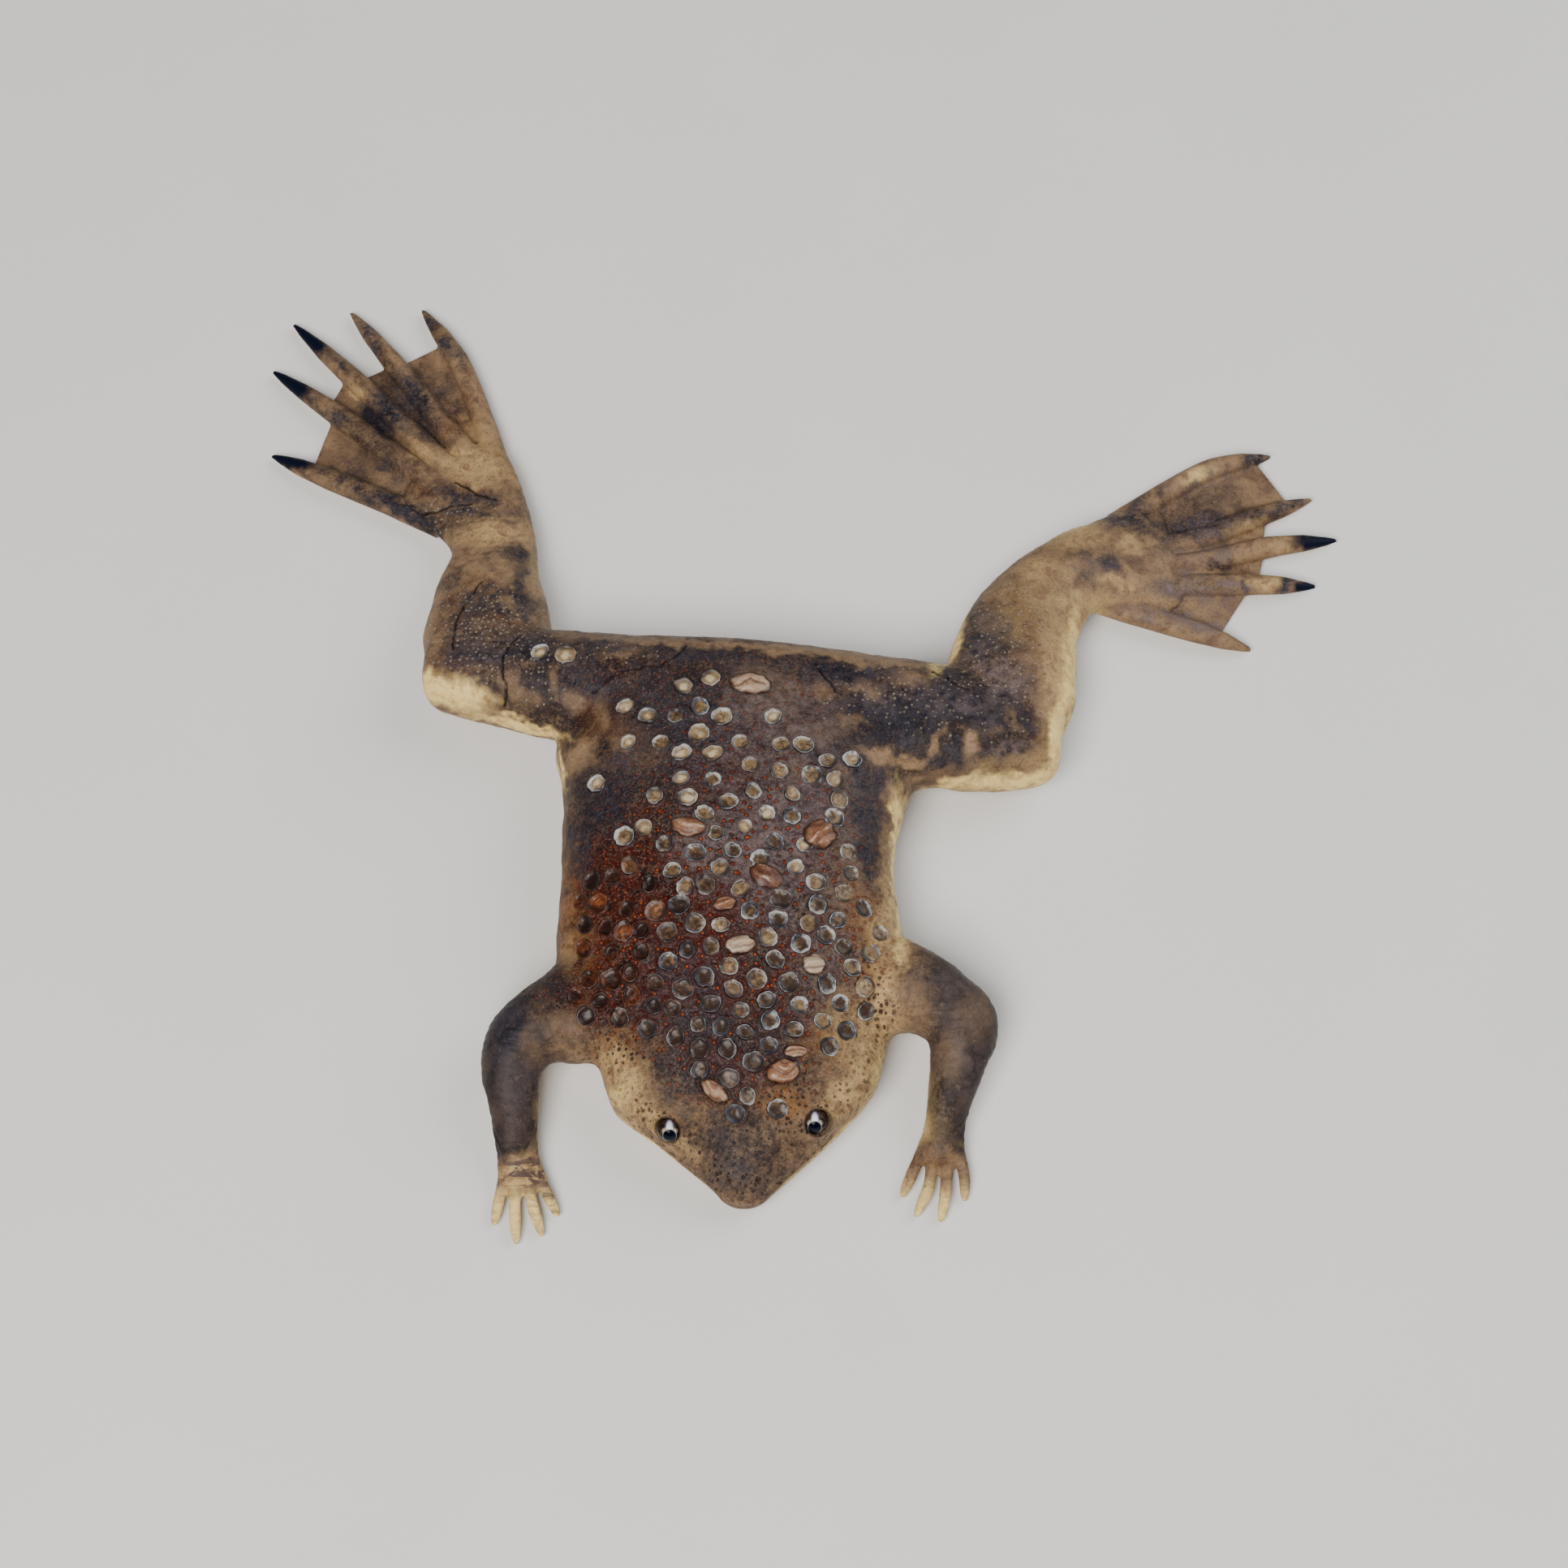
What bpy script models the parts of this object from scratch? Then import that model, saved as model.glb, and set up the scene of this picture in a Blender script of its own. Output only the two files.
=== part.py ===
"""Surinam toad, a still life-size model: a female lying flat on the floor.

The head points to -Y, the animal's left side is +X, and its belly, hands and
feet rest on the plane z = 0. The body is modelled whole from its trunk and
four limbs, smoothed as one skin, and then parted with thin cuts at the neck,
shoulders, elbows, wrists, hips, knees and ankles. Lengths below are in
millimetres, from a point under the animal's back; the last step turns them
into metres and sets the origin under the middle of the whole model.
"""
import math
import random

import bmesh
import bpy
import numpy as np
from mathutils import Matrix, Vector
from mathutils.bvhtree import BVHTree

MM = 0.001
SHARP_ANGLE = math.radians(40)

# Driving sizes
GAP = 0.3                # between pieces that meet
VOXEL = 1.3              # grid of the joined skin
SMOOTHING = 9            # passes over the joined skin
BODY_TRIANGLES = 4200    # of head, torso and limbs together
EYE_RADIUS = 3.2
EYE_COLLAR = 2.0         # width of the raised lid round the eye
EYE_LIFT = 1.4           # height of the lid's edge over the eye's middle
MOUTH_SLIT = 0.5
MOUTH_DEPTH = 1.5
LIP_RADIUS = 0.95
NOSTRIL_RADIUS = 0.5
NOSTRIL_DEPTH = 1.2
PIT_SPACING = 9.2
PIT_RADIUS = 2.3         # at the skin
PIT_DEEPEST = 1.7
PIT_SHALLOWEST = 0.9
PIT_SIDES = 6
OPEN_BULGE = 0.25        # rise in the middle of an open pit's floor
FILLED_BULGE = 0.9       # and of one filled by an egg
RIM_RADIUS = 3.0
RIM_HEIGHT = 0.45
ABOVE_SKIN = 2.4         # how far a cutter stands out of the skin
WEB_THICKNESS = 0.8
WEB_LEVEL = 0.5          # underside of the web at its free edge
WEB_RISE = 1.6           # how much higher it is at the sole

# Trunk from snout to rump: y, middle x, half-width, top z, bottom z, z of the widest line
TRUNK = (
    (-109.4, 1.4, 2.2, 8.4, 3.6, 6.0),
    (-108.4, 1.4, 4.9, 9.8, 2.8, 6.0),
    (-106.0, 1.4, 7.6, 11.6, 1.6, 6.2),
    (-102.3, 1.4, 11.8, 14.2, 0.6, 6.6),
    (-98.0, 1.2, 16.6, 16.8, 0.0, 7.0),
    (-93.4, 0.9, 21.8, 19.0, -0.6, 7.4),
    (-90.1, 0.2, 25.8, 20.6, -1.0, 7.8),
    (-86.0, -0.4, 30.3, 22.2, -1.2, 8.2),
    (-82.0, 0.3, 32.7, 23.6, -1.2, 8.8),
    (-77.5, 0.6, 34.3, 25.0, -1.2, 9.2),
    (-72.0, 0.2, 35.8, 25.8, -1.2, 9.8),
    (-62.0, -0.8, 39.5, 28.0, -1.2, 10.6),
    (-48.0, -2.0, 43.2, 30.0, -1.2, 11.4),
    (-30.0, -3.0, 41.8, 31.4, -1.2, 12.0),
    (-18.0, -2.7, 41.9, 31.8, -1.2, 12.0),
    (-8.0, -1.4, 43.0, 31.4, -1.2, 12.0),
    (0.0, -0.4, 44.8, 30.8, -1.2, 12.0),
    (8.0, 0.2, 47.2, 29.8, -1.2, 12.0),
    (16.0, 0.2, 45.0, 28.4, -1.2, 12.0),
    (24.0, 0.0, 38.0, 26.6, -1.2, 12.0),
    (30.0, 0.0, 30.0, 23.0, -0.6, 11.6),
    (34.6, 0.0, 21.0, 18.6, 1.0, 11.0),
    (37.6, 0.0, 10.0, 14.0, 4.0, 10.0),
)
SECTION_TOP = 2.25       # how square the back is, across
SECTION_BOTTOM = 3.4     # how square the belly is, across

# Limbs: x, y, z, half-width and half-height of each section along the way
THIGHS = (
    (-80.8, 32.6, 11.0, 7.4, 6.5),
    (-77.8, 32.6, 11.2, 10.8, 9.6),
    (-70.0, 32.4, 11.6, 12.6, 11.6),
    (-58.0, 30.2, 12.2, 13.6, 12.4),
    (-45.0, 27.4, 12.6, 14.4, 13.0),
    (-25.0, 26.4, 12.6, 13.6, 13.2),
    (0.0, 25.8, 12.6, 12.6, 13.0),
    (22.0, 22.8, 12.6, 12.8, 13.0),
    (40.0, 15.8, 12.6, 17.0, 13.0),
    (53.0, 13.6, 12.2, 16.2, 12.6),
    (66.0, 11.4, 11.6, 14.8, 11.8),
    (77.0, 10.6, 11.2, 12.2, 10.0),
    (81.0, 10.4, 11.0, 8.0, 6.6),
)
SHANK_RIGHT = (
    (-67.6, 26.0, 11.2, 9.0, 8.0),
    (-66.8, 31.0, 11.2, 14.2, 10.8),
    (-65.8, 39.0, 11.0, 16.4, 11.4),
    (-65.2, 47.0, 10.4, 16.4, 10.8),
    (-65.6, 55.5, 9.4, 14.3, 9.6),
    (-65.0, 63.0, 8.0, 12.4, 8.0),
    (-65.2, 70.0, 6.6, 11.4, 6.6),
    (-67.4, 78.0, 5.4, 12.4, 5.6),
    (-72.4, 87.0, 4.4, 14.6, 4.6),
    (-77.0, 94.4, 3.4, 15.4, 3.4),
    (-79.4, 98.2, 2.8, 13.0, 2.0),
)
SHANK_LEFT = (
    (67.0, 9.0, 11.2, 9.0, 8.0),
    (67.4, 14.0, 11.2, 14.6, 10.8),
    (68.6, 23.0, 11.0, 16.8, 11.4),
    (69.8, 33.0, 10.4, 16.4, 10.8),
    (72.8, 43.6, 9.4, 14.6, 9.6),
    (79.0, 53.2, 8.0, 12.6, 8.0),
    (87.0, 60.2, 6.6, 12.0, 6.6),
    (95.0, 62.8, 5.4, 13.6, 5.6),
    (102.6, 64.4, 4.4, 15.6, 4.6),
    (109.0, 65.8, 3.4, 16.4, 3.4),
    (112.4, 66.4, 2.8, 13.6, 2.0),
)
ARM_RIGHT = (
    (-28.0, -57.0, 14.0, 10.0, 9.0),
    (-33.0, -58.6, 13.8, 13.0, 10.6),
    (-41.0, -62.6, 13.4, 13.0, 10.0),
    (-48.4, -65.0, 12.4, 10.1, 9.2),
    (-54.2, -69.8, 11.2, 8.9, 8.4),
    (-55.8, -76.0, 9.6, 7.8, 7.2),
    (-55.2, -83.0, 8.0, 6.6, 6.0),
    (-54.6, -90.5, 6.0, 5.6, 4.8),
    (-54.2, -96.0, 4.2, 5.5, 3.9),
    (-53.6, -101.0, 3.0, 6.2, 3.2),
    (-53.4, -103.6, 2.6, 4.8, 2.2),
)
ARM_LEFT = (
    (28.0, -52.0, 14.0, 10.0, 9.0),
    (33.0, -54.8, 13.8, 12.8, 10.6),
    (41.4, -56.8, 13.4, 11.6, 10.0),
    (49.2, -60.2, 12.4, 9.7, 9.2),
    (54.9, -65.6, 11.2, 8.9, 8.4),
    (54.0, -73.0, 9.6, 7.5, 7.2),
    (52.0, -81.0, 7.9, 6.1, 5.8),
    (50.4, -87.6, 5.8, 5.3, 4.7),
    (49.6, -92.4, 4.2, 5.6, 3.9),
    (48.9, -96.8, 3.0, 6.6, 3.2),
    (48.6, -99.4, 2.6, 5.0, 2.2),
)

NECK_Y = -76.5
# Cuts between the nodes: middle x and y, direction across the cut, half its length
CUTS = (
    ((0.0, NECK_Y), (0.0, 1.0), 40.0),
    ((-42.3, -62.8), (-0.94, -0.34), 17.0),
    ((40.4, -56.0), (0.987, -0.163), 15.5),
    ((-55.2, -74.4), (-0.14, -0.99), 10.6),
    ((54.4, -71.4), (-0.12, -0.99), 10.6),
    ((-54.4, -93.6), (0.0, 1.0), 8.0),
    ((50.2, -89.6), (0.0, 1.0), 8.0),
    ((-46.5, 24.0), (1.0, 0.0), 21.0),
    ((46.5, 10.6), (1.0, 0.0), 24.0),
    ((-64.6, 37.4), (-0.26, 0.966), 20.0),
    ((67.0, 20.9), (0.44, 0.898), 24.0),
    ((-65.2, 71.4), (-0.2, 0.98), 14.0),
    ((87.6, 60.2), (1.0, 0.10), 19.0),
)
# A point in the middle of each node that the cuts make
ANCHORS = {
    "head": (1.0, -90.0, 10.0),
    "torso": (-1.0, -20.0, 14.0),
    "upper_arm_right": (-50.0, -65.5, 12.0),
    "upper_arm_left": (50.0, -60.0, 12.0),
    "forearm_right": (-55.0, -83.0, 8.0),
    "forearm_left": (52.0, -79.0, 8.0),
    "hand_right": (-54.0, -99.0, 3.6),
    "hand_left": (49.0, -95.0, 3.6),
    "thigh_right": (-60.0, 28.0, 12.0),
    "thigh_left": (62.0, 10.0, 12.0),
    "shank_right": (-65.0, 53.0, 10.0),
    "shank_left": (74.0, 40.0, 10.0),
    "foot_right": (-72.0, 85.0, 4.0),
    "foot_left": (99.0, 63.0, 4.0),
}

# Fingers and toes: points from root to tip
FINGERS = {
    "hand_right": (
        ((-57.0, -97.4, 2.8), (-58.6, -105.4, 2.2), (-60.0, -112.2, 1.2)),
        ((-54.9, -101.0, 3.0), (-54.8, -109.5, 2.4), (-54.3, -117.2, 1.2)),
        ((-51.6, -100.4, 3.0), (-50.5, -107.6, 2.4), (-48.0, -115.2, 1.2)),
        ((-50.6, -96.0, 2.8), (-47.4, -104.0, 2.2), (-44.3, -110.3, 1.2)),
    ),
    "hand_left": (
        ((52.8, -93.4, 2.8), (54.5, -101.0, 2.2), (54.5, -107.6, 1.2)),
        ((50.6, -96.4, 3.0), (50.0, -105.0, 2.4), (48.6, -112.8, 1.2)),
        ((47.0, -96.0, 3.0), (45.9, -104.0, 2.4), (42.5, -111.4, 1.2)),
        ((46.0, -91.6, 2.8), (42.2, -100.0, 2.2), (39.2, -106.4, 1.2)),
    ),
}
TOES = {
    "foot_right": (
        ((-64.8, 95.0, 3.0), (-70.6, 113.0, 2.6), (-77.4, 130.0, 2.4), (-87.7, 146.4, 1.2)),
        ((-71.0, 96.6, 3.4), (-82.0, 111.8, 2.8), (-94.4, 128.8, 2.6), (-107.2, 146.1, 1.2)),
        ((-76.0, 93.4, 3.4), (-91.0, 109.4, 2.8), (-105.4, 124.6, 2.6), (-122.6, 142.6, 1.2)),
        ((-80.0, 89.8, 3.4), (-95.4, 102.4, 2.8), (-110.4, 114.5, 2.6), (-127.4, 128.1, 1.2)),
        ((-79.4, 78.6, 3.2), (-95.6, 87.0, 2.8), (-110.6, 94.2, 2.6), (-126.4, 102.2, 1.2)),
    ),
    "foot_left": (
        ((97.0, 75.4, 3.0), (112.0, 85.6, 2.6), (124.4, 92.4, 2.4), (139.2, 96.2, 1.2)),
        ((100.0, 68.6, 3.4), (116.4, 70.4, 2.8), (133.4, 77.0, 2.6), (149.4, 83.2, 1.2)),
        ((103.0, 61.8, 3.4), (120.0, 64.4, 2.8), (137.2, 68.6, 2.6), (155.2, 71.0, 1.2)),
        ((96.0, 57.4, 3.4), (114.0, 57.8, 2.8), (131.8, 57.8, 2.6), (148.9, 57.6, 1.2)),
        ((91.0, 54.0, 3.2), (105.0, 48.6, 2.8), (117.6, 44.3, 2.6), (131.3, 39.5, 1.2)),
    ),
}
# Radius along a digit: share of its length, radius
FINGER_PROFILE = ((0.0, 1.9), (0.5, 1.8), (0.8, 1.5), (1.0, 0.5))
TOE_PROFILE = ((0.0, 3.4), (0.35, 3.1), (0.66, 3.0), (0.84, 2.2), (1.0, 0.4))
# How far each web runs out along the toes on its two sides, as shares of their length
WEB_REACH = {
    "foot_right": ((0.78, 0.66), (0.67, 0.66), (0.70, 0.70), (0.66, 0.77)),
    "foot_left": ((0.90, 0.88), (0.74, 0.64), (0.64, 0.71), (0.67, 0.79)),
}
# Field of brood pits: y, middle x, half-width
PIT_FIELD = (
    (-89.0, 1.0, 2.0),
    (-80.0, 1.0, 13.0),
    (-72.0, 1.0, 19.0),
    (-65.0, 0.0, 27.0),
    (-58.0, -1.0, 36.0),
    (-30.0, -3.0, 37.5),
    (-15.0, -2.5, 34.0),
    (-4.0, -1.0, 28.0),
    (10.0, -3.0, 24.0),
    (18.0, -3.0, 15.0),
    (24.0, -3.0, 6.0),
)
JAW_HINGE = (0.6, -84.0)    # the outline of the mouth is read from here
NOSTRILS = ((-2.2, -105.2), (5.0, -105.2))
CLOACA = (
    (0.6, 28.0, 9.4, 4.0, 3.6),
    (0.6, 34.0, 9.0, 5.2, 4.4),
    (0.6, 38.4, 8.4, 3.8, 3.4),
    (0.6, 40.2, 8.0, 2.0, 2.0),
)
EYES = {"eye_right": (-16.4, -92.6, 15.0), "eye_left": (18.6, -91.0, 15.0)}

COLOURS = {
    "back": ((0.150, 0.070, 0.040, 1.0), 0.42),
    "head": ((0.260, 0.170, 0.100, 1.0), 0.48),
    "limb": ((0.230, 0.160, 0.100, 1.0), 0.46),
    "digit": ((0.420, 0.310, 0.200, 1.0), 0.44),
    "eye": ((0.020, 0.012, 0.008, 1.0), 0.08),
}


def clear_scene():
    for old in list(bpy.data.objects):
        bpy.data.objects.remove(old)


def smooth_rows(rows, steps):
    """More rows between each two, on a curve that passes through all of them."""
    rows = np.array(rows, float)
    ends = np.vstack((2 * rows[0] - rows[1], rows, 2 * rows[-1] - rows[-2]))
    out = []
    for a, b, c, d in zip(ends, ends[1:], ends[2:], ends[3:]):
        for t in np.arange(steps) / steps:
            out.append(0.5 * (2 * b + (c - a) * t + (2 * a - 5 * b + 4 * c - d) * t ** 2
                              + (3 * b - a - 3 * c + d) * t ** 3))
    out.append(rows[-1])
    return out


def add_object(name, vertices, faces):
    mesh = bpy.data.meshes.new(name)
    mesh.from_pydata([tuple(v) for v in vertices], [], faces)
    mesh.validate()
    obj = bpy.data.objects.new(name, mesh)
    bpy.context.collection.objects.link(obj)
    return obj


def loft(name, rings):
    """A closed body through rings of equally many points, with a fan over each end."""
    count = len(rings[0])
    points = [p for ring in rings for p in ring]
    first = len(points)
    points.append(sum((Vector(p) for p in rings[0]), Vector()) / count)
    points.append(sum((Vector(p) for p in rings[-1]), Vector()) / count)
    faces = []
    for k in range(count):
        after = (k + 1) % count
        faces.append((first, after, k))
        last = (len(rings) - 1) * count
        faces.append((first + 1, last + k, last + after))
        for row in range(len(rings) - 1):
            a = row * count
            faces.append((a + k, a + after, a + count + after, a + count + k))
    obj = add_object(name, points, faces)
    face_outward(obj)
    return obj


def face_outward(obj):
    bm = bmesh.new()
    bm.from_mesh(obj.data)
    bmesh.ops.recalc_face_normals(bm, faces=bm.faces)
    bm.to_mesh(obj.data)
    bm.free()


def power(value, exponent):
    return math.copysign(abs(value) ** exponent, value)


def trunk():
    rings = []
    for y, middle, half, top, bottom, widest in smooth_rows(TRUNK, 3):
        ring = []
        for k in range(48):
            turn = 2 * math.pi * k / 48
            square = SECTION_TOP if math.sin(turn) > 0 else SECTION_BOTTOM
            reach = top - widest if math.sin(turn) > 0 else widest - bottom
            ring.append((middle + half * power(math.cos(turn), 2 / square), y,
                         widest + reach * power(math.sin(turn), 2 / square)))
        rings.append(ring)
    return loft("trunk", rings)


def limb(name, rows, sides=20, steps=4):
    """A tube along rows of x, y, z, half-width and half-height, its width kept level."""
    rows = smooth_rows(rows, steps)
    rings = []
    for index, row in enumerate(rows):
        before = rows[max(index - 1, 0)]
        after = rows[min(index + 1, len(rows) - 1)]
        along = Vector(after[:3] - before[:3]).normalized()
        across = Vector((-along.y, along.x, 0)).normalized()
        rise = along.cross(across)
        ring = []
        for k in range(sides):
            turn = 2 * math.pi * k / sides
            ring.append(Vector(row[:3]) + across * (row[3] * math.cos(turn))
                        + rise * (row[4] * math.sin(turn)))
        rings.append(ring)
    return loft(name, rings)


def bake(obj):
    """Keep the shape that the modifiers give, and drop them."""
    shape = bpy.data.meshes.new_from_object(obj.evaluated_get(bpy.context.evaluated_depsgraph_get()))
    obj.modifiers.clear()
    obj.data = shape


def join(name, pieces):
    """One object of several closed bodies, which still cross one another."""
    bm = bmesh.new()
    for piece in pieces:
        bm.from_mesh(piece.data)
        bpy.data.objects.remove(piece)
    mesh = bpy.data.meshes.new(name)
    bm.to_mesh(mesh)
    bm.free()
    obj = bpy.data.objects.new(name, mesh)
    bpy.context.collection.objects.link(obj)
    return obj


def boolean(obj, other, operation, solver="EXACT"):
    modifier = obj.modifiers.new(operation, "BOOLEAN")
    modifier.object = other
    modifier.operation = operation
    modifier.solver = solver
    bake(obj)
    bpy.data.objects.remove(other)


def union_all(obj, pieces):
    """One Boolean union of an object with a collection of closed bodies."""
    group = bpy.data.collections.new(obj.name + "_pieces")
    bpy.context.scene.collection.children.link(group)
    for piece in pieces:
        bpy.context.collection.objects.unlink(piece)
        group.objects.link(piece)
    modifier = obj.modifiers.new("union", "BOOLEAN")
    modifier.operand_type = "COLLECTION"
    modifier.collection = group
    modifier.operation = "UNION"
    modifier.solver = "EXACT"
    bake(obj)
    for piece in list(group.objects):
        bpy.data.objects.remove(piece)
    bpy.data.collections.remove(group)


def on_floor(obj):
    """Whatever sank below the floor becomes a flat on it."""
    for vertex in obj.data.vertices:
        if vertex.co.z < 0.06:
            vertex.co.z = 0.0


def whole_body():
    """Trunk and limbs as one smooth skin, thinned to a set number of triangles."""
    body = join("body", [trunk(), limb("thighs", THIGHS), limb("shank_r", SHANK_RIGHT),
                         limb("shank_l", SHANK_LEFT), limb("arm_r", ARM_RIGHT),
                         limb("arm_l", ARM_LEFT), limb("cloaca", CLOACA)])
    remesh = body.modifiers.new("skin", "REMESH")
    remesh.mode = "VOXEL"
    remesh.voxel_size = VOXEL
    smooth = body.modifiers.new("soften", "SMOOTH")
    smooth.factor = 0.5
    smooth.iterations = SMOOTHING
    bake(body)
    on_floor(body)
    triangles = sum(len(p.vertices) - 2 for p in body.data.polygons)
    thin = body.modifiers.new("thin", "DECIMATE")
    thin.ratio = BODY_TRIANGLES / triangles
    thin.use_collapse_triangulate = True
    bake(body)
    on_floor(body)
    return body


def box(name, size, place=Matrix()):
    x, y, z = (s / 2 for s in size)
    corners = [place @ Vector((a, b, c)) for a in (-x, x) for b in (-y, y) for c in (-z, z)]
    faces = [(0, 1, 3, 2), (4, 6, 7, 5), (0, 4, 5, 1), (2, 3, 7, 6), (0, 2, 6, 4), (1, 5, 7, 3)]
    obj = add_object(name, corners, faces)
    face_outward(obj)
    return obj


def part_body(body):
    """Thin cuts through the skin, and one object for each piece between them."""
    for middle, across, half in CUTS:
        turn = Matrix.Rotation(math.atan2(across[1], across[0]), 4, "Z")
        place = Matrix.Translation((middle[0], middle[1], 20.0)) @ turn
        boolean(body, box("cut", (GAP, 2 * half, 60.0), place), "DIFFERENCE")
    bm = bmesh.new()
    bm.from_mesh(body.data)
    bpy.data.objects.remove(body)
    nodes = {}
    left = set(bm.verts)
    while left:
        island = {left.pop()}
        edge_of_search = list(island)
        while edge_of_search:
            vertex = edge_of_search.pop()
            for edge in vertex.link_edges:
                other = edge.other_vert(vertex)
                if other not in island:
                    island.add(other)
                    edge_of_search.append(other)
        left -= island
        middle = sum((v.co for v in island), Vector()) / len(island)
        name = min(ANCHORS, key=lambda n: (Vector(ANCHORS[n]) - middle).length)
        if len(island) > len(nodes.get(name, ())):
            nodes[name] = island
    objects = {}
    for name, island in nodes.items():
        numbers = {vertex: k for k, vertex in enumerate(island)}
        faces = {face for vertex in island for face in vertex.link_faces}
        objects[name] = add_object(name, [v.co for v in numbers],
                                   [[numbers[v] for v in face.verts] for face in faces])
    bm.free()
    return objects


def digits(points_of_each, profile, sides):
    """Fingers or toes, each a tapered tube with its root inside the palm or sole."""
    shares, radii = zip(*profile)
    pieces = []
    for points in points_of_each:
        line = smooth_rows(points, 2)
        along = np.linspace(0.0, 1.0, len(line))
        rows = [(*point, radius, 0.9 * radius)
                for point, radius in zip(line, np.interp(along, shares, radii))]
        piece = limb("digit", rows, sides, 1)
        on_floor(piece)
        pieces.append(piece)
    return pieces


def web(near_toe, far_toe, reach):
    """The swimming web between two toes: a thin sheet with a straight free edge."""
    rows, columns = 3, 2
    sides = []
    for toe, share in zip((near_toe, far_toe), reach):
        line = np.array(smooth_rows(toe, 8))
        places = np.linspace(0.0, share * (len(line) - 1), rows + 1)
        sides.append(np.array([np.interp(places, range(len(line)), line[:, k]) for k in (0, 1)]).T)
    inset = 0.05
    points = []
    for lift in (WEB_LEVEL, WEB_LEVEL + WEB_THICKNESS):
        for column in range(columns + 1):
            blend = inset + (1 - 2 * inset) * column / columns
            for row in range(rows + 1):
                x, y = sides[0][row] * (1 - blend) + sides[1][row] * blend
                points.append((x, y, lift + WEB_RISE * (1 - row / rows)))
    tall = rows + 1
    layer = tall * (columns + 1)
    faces = []
    for c in range(columns):
        for r in range(rows):
            a, b = c * tall + r, (c + 1) * tall + r
            for corner in ((a, b, b + 1), (a, b + 1, a + 1)):
                faces.append(corner)
                faces.append(tuple(k + layer for k in reversed(corner)))
    border = [c * tall for c in range(columns + 1)]
    border += [columns * tall + r for r in range(1, tall)]
    border += [c * tall + rows for c in range(columns - 1, -1, -1)]
    border += list(range(rows - 1, 0, -1))
    for a, b in zip(border, border[1:] + border[:1]):
        faces += [(a, b, b + layer), (a, b + layer, a + layer)]
    sheet = add_object("web", points, faces)
    face_outward(sheet)
    return sheet


def foot_pieces(name):
    toes = TOES[name]
    webs = [web(*pair) for pair in zip(toes, toes[1:], WEB_REACH[name])]
    return digits(toes, TOE_PROFILE, 6) + webs


def turned(name, profile, sides, place):
    """A closed body of revolution through (radius, height) pairs, laid at a place matrix."""
    rings = []
    for radius, height in profile:
        ring = [place @ Vector((radius * math.cos(2 * math.pi * k / sides),
                                radius * math.sin(2 * math.pi * k / sides), height))
                for k in range(sides)]
        rings.append(ring)
    return loft(name, rings)


def on_surface(surface, x, y, turn=0.0):
    """Place matrix at the skin straight below a point, Z along the skin's normal."""
    point, normal, _, _ = surface.ray_cast(Vector((x, y, 100.0)), Vector((0, 0, -1)))
    lean = normal.to_track_quat("Z", "Y").to_matrix().to_4x4()
    return Matrix.Translation(point) @ lean @ Matrix.Rotation(turn, 4, "Z")


def skin_of(obj):
    return BVHTree.FromPolygons([v.co for v in obj.data.vertices],
                                [p.vertices for p in obj.data.polygons])


def pit_sites():
    """Staggered rows of pits across the back, none of them on the neck's cut."""
    draw = random.Random(11)
    ys, middles, halves = zip(*PIT_FIELD)
    step = PIT_SPACING * math.sqrt(3) / 2
    first = math.ceil((ys[0] - NECK_Y) / step - 0.5)
    last = math.floor((ys[-1] - NECK_Y) / step - 0.5)
    sites = []
    for row in range(first, last + 1):
        y = NECK_Y + (row + 0.5) * step
        middle = np.interp(y, ys, middles)
        half = np.interp(y, ys, halves)
        for place in range(-6, 7):
            offset = (place + 0.5 * (row % 2)) * PIT_SPACING
            site = (middle + offset + draw.uniform(-0.4, 0.4), y + draw.uniform(-0.3, 0.3),
                    draw.uniform(0.0, 6.0), draw.random())
            if abs(offset) <= half:
                sites.append(site)
    return sites


def cut_pits(obj, sites):
    """Raised rims on the skin, each with a pit sunk into it, open or nearly filled."""
    skin = skin_of(obj)
    rims = []
    bores = []
    for x, y, turn, filling in sites:
        place = on_surface(skin, x, y, turn)
        floor = PIT_DEEPEST + (PIT_SHALLOWEST - PIT_DEEPEST) * filling
        bulge = FILLED_BULGE if filling > 0.6 else OPEN_BULGE
        rim = ((RIM_RADIUS + 0.5, -PIT_DEEPEST), (RIM_RADIUS, RIM_HEIGHT))
        rims.append(turned("rim", rim, PIT_SIDES, place))
        hollow = ((PIT_RADIUS * 0.68, -floor), (PIT_RADIUS * 1.3, ABOVE_SKIN))
        bore = turned("bore", hollow, PIT_SIDES, place)
        middle_of_floor = bore.data.vertices[2 * PIT_SIDES]
        middle_of_floor.co += place.to_3x3() @ Vector((0, 0, bulge))
        bores.append(bore)
    boolean(obj, join("rims", rims), "UNION")
    boolean(obj, join("bores", bores), "DIFFERENCE")


def mouth_line(head):
    """Points on the head's outline from one jaw corner round the snout to the other."""
    skin = skin_of(head)
    line = []
    for turn in np.radians(np.arange(184.0, 357.0, 11.46)):
        outward = Vector((math.cos(turn), math.sin(turn), 0.0))
        height = 6.2 + 1.8 * math.cos(turn) ** 2
        start = Vector((*JAW_HINGE, height))
        point = skin.ray_cast(start, outward)[0]
        line.append((point, outward))
    return line


def lip(line, rise):
    rows = [(*(point - 0.45 * outward + Vector((0, 0, rise))), LIP_RADIUS, LIP_RADIUS)
            for point, outward in line]
    rows[0] = (*rows[0][:3], 0.4, 0.4)
    rows[-1] = (*rows[-1][:3], 0.4, 0.4)
    return limb("lip", rows, 6, 1)


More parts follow.
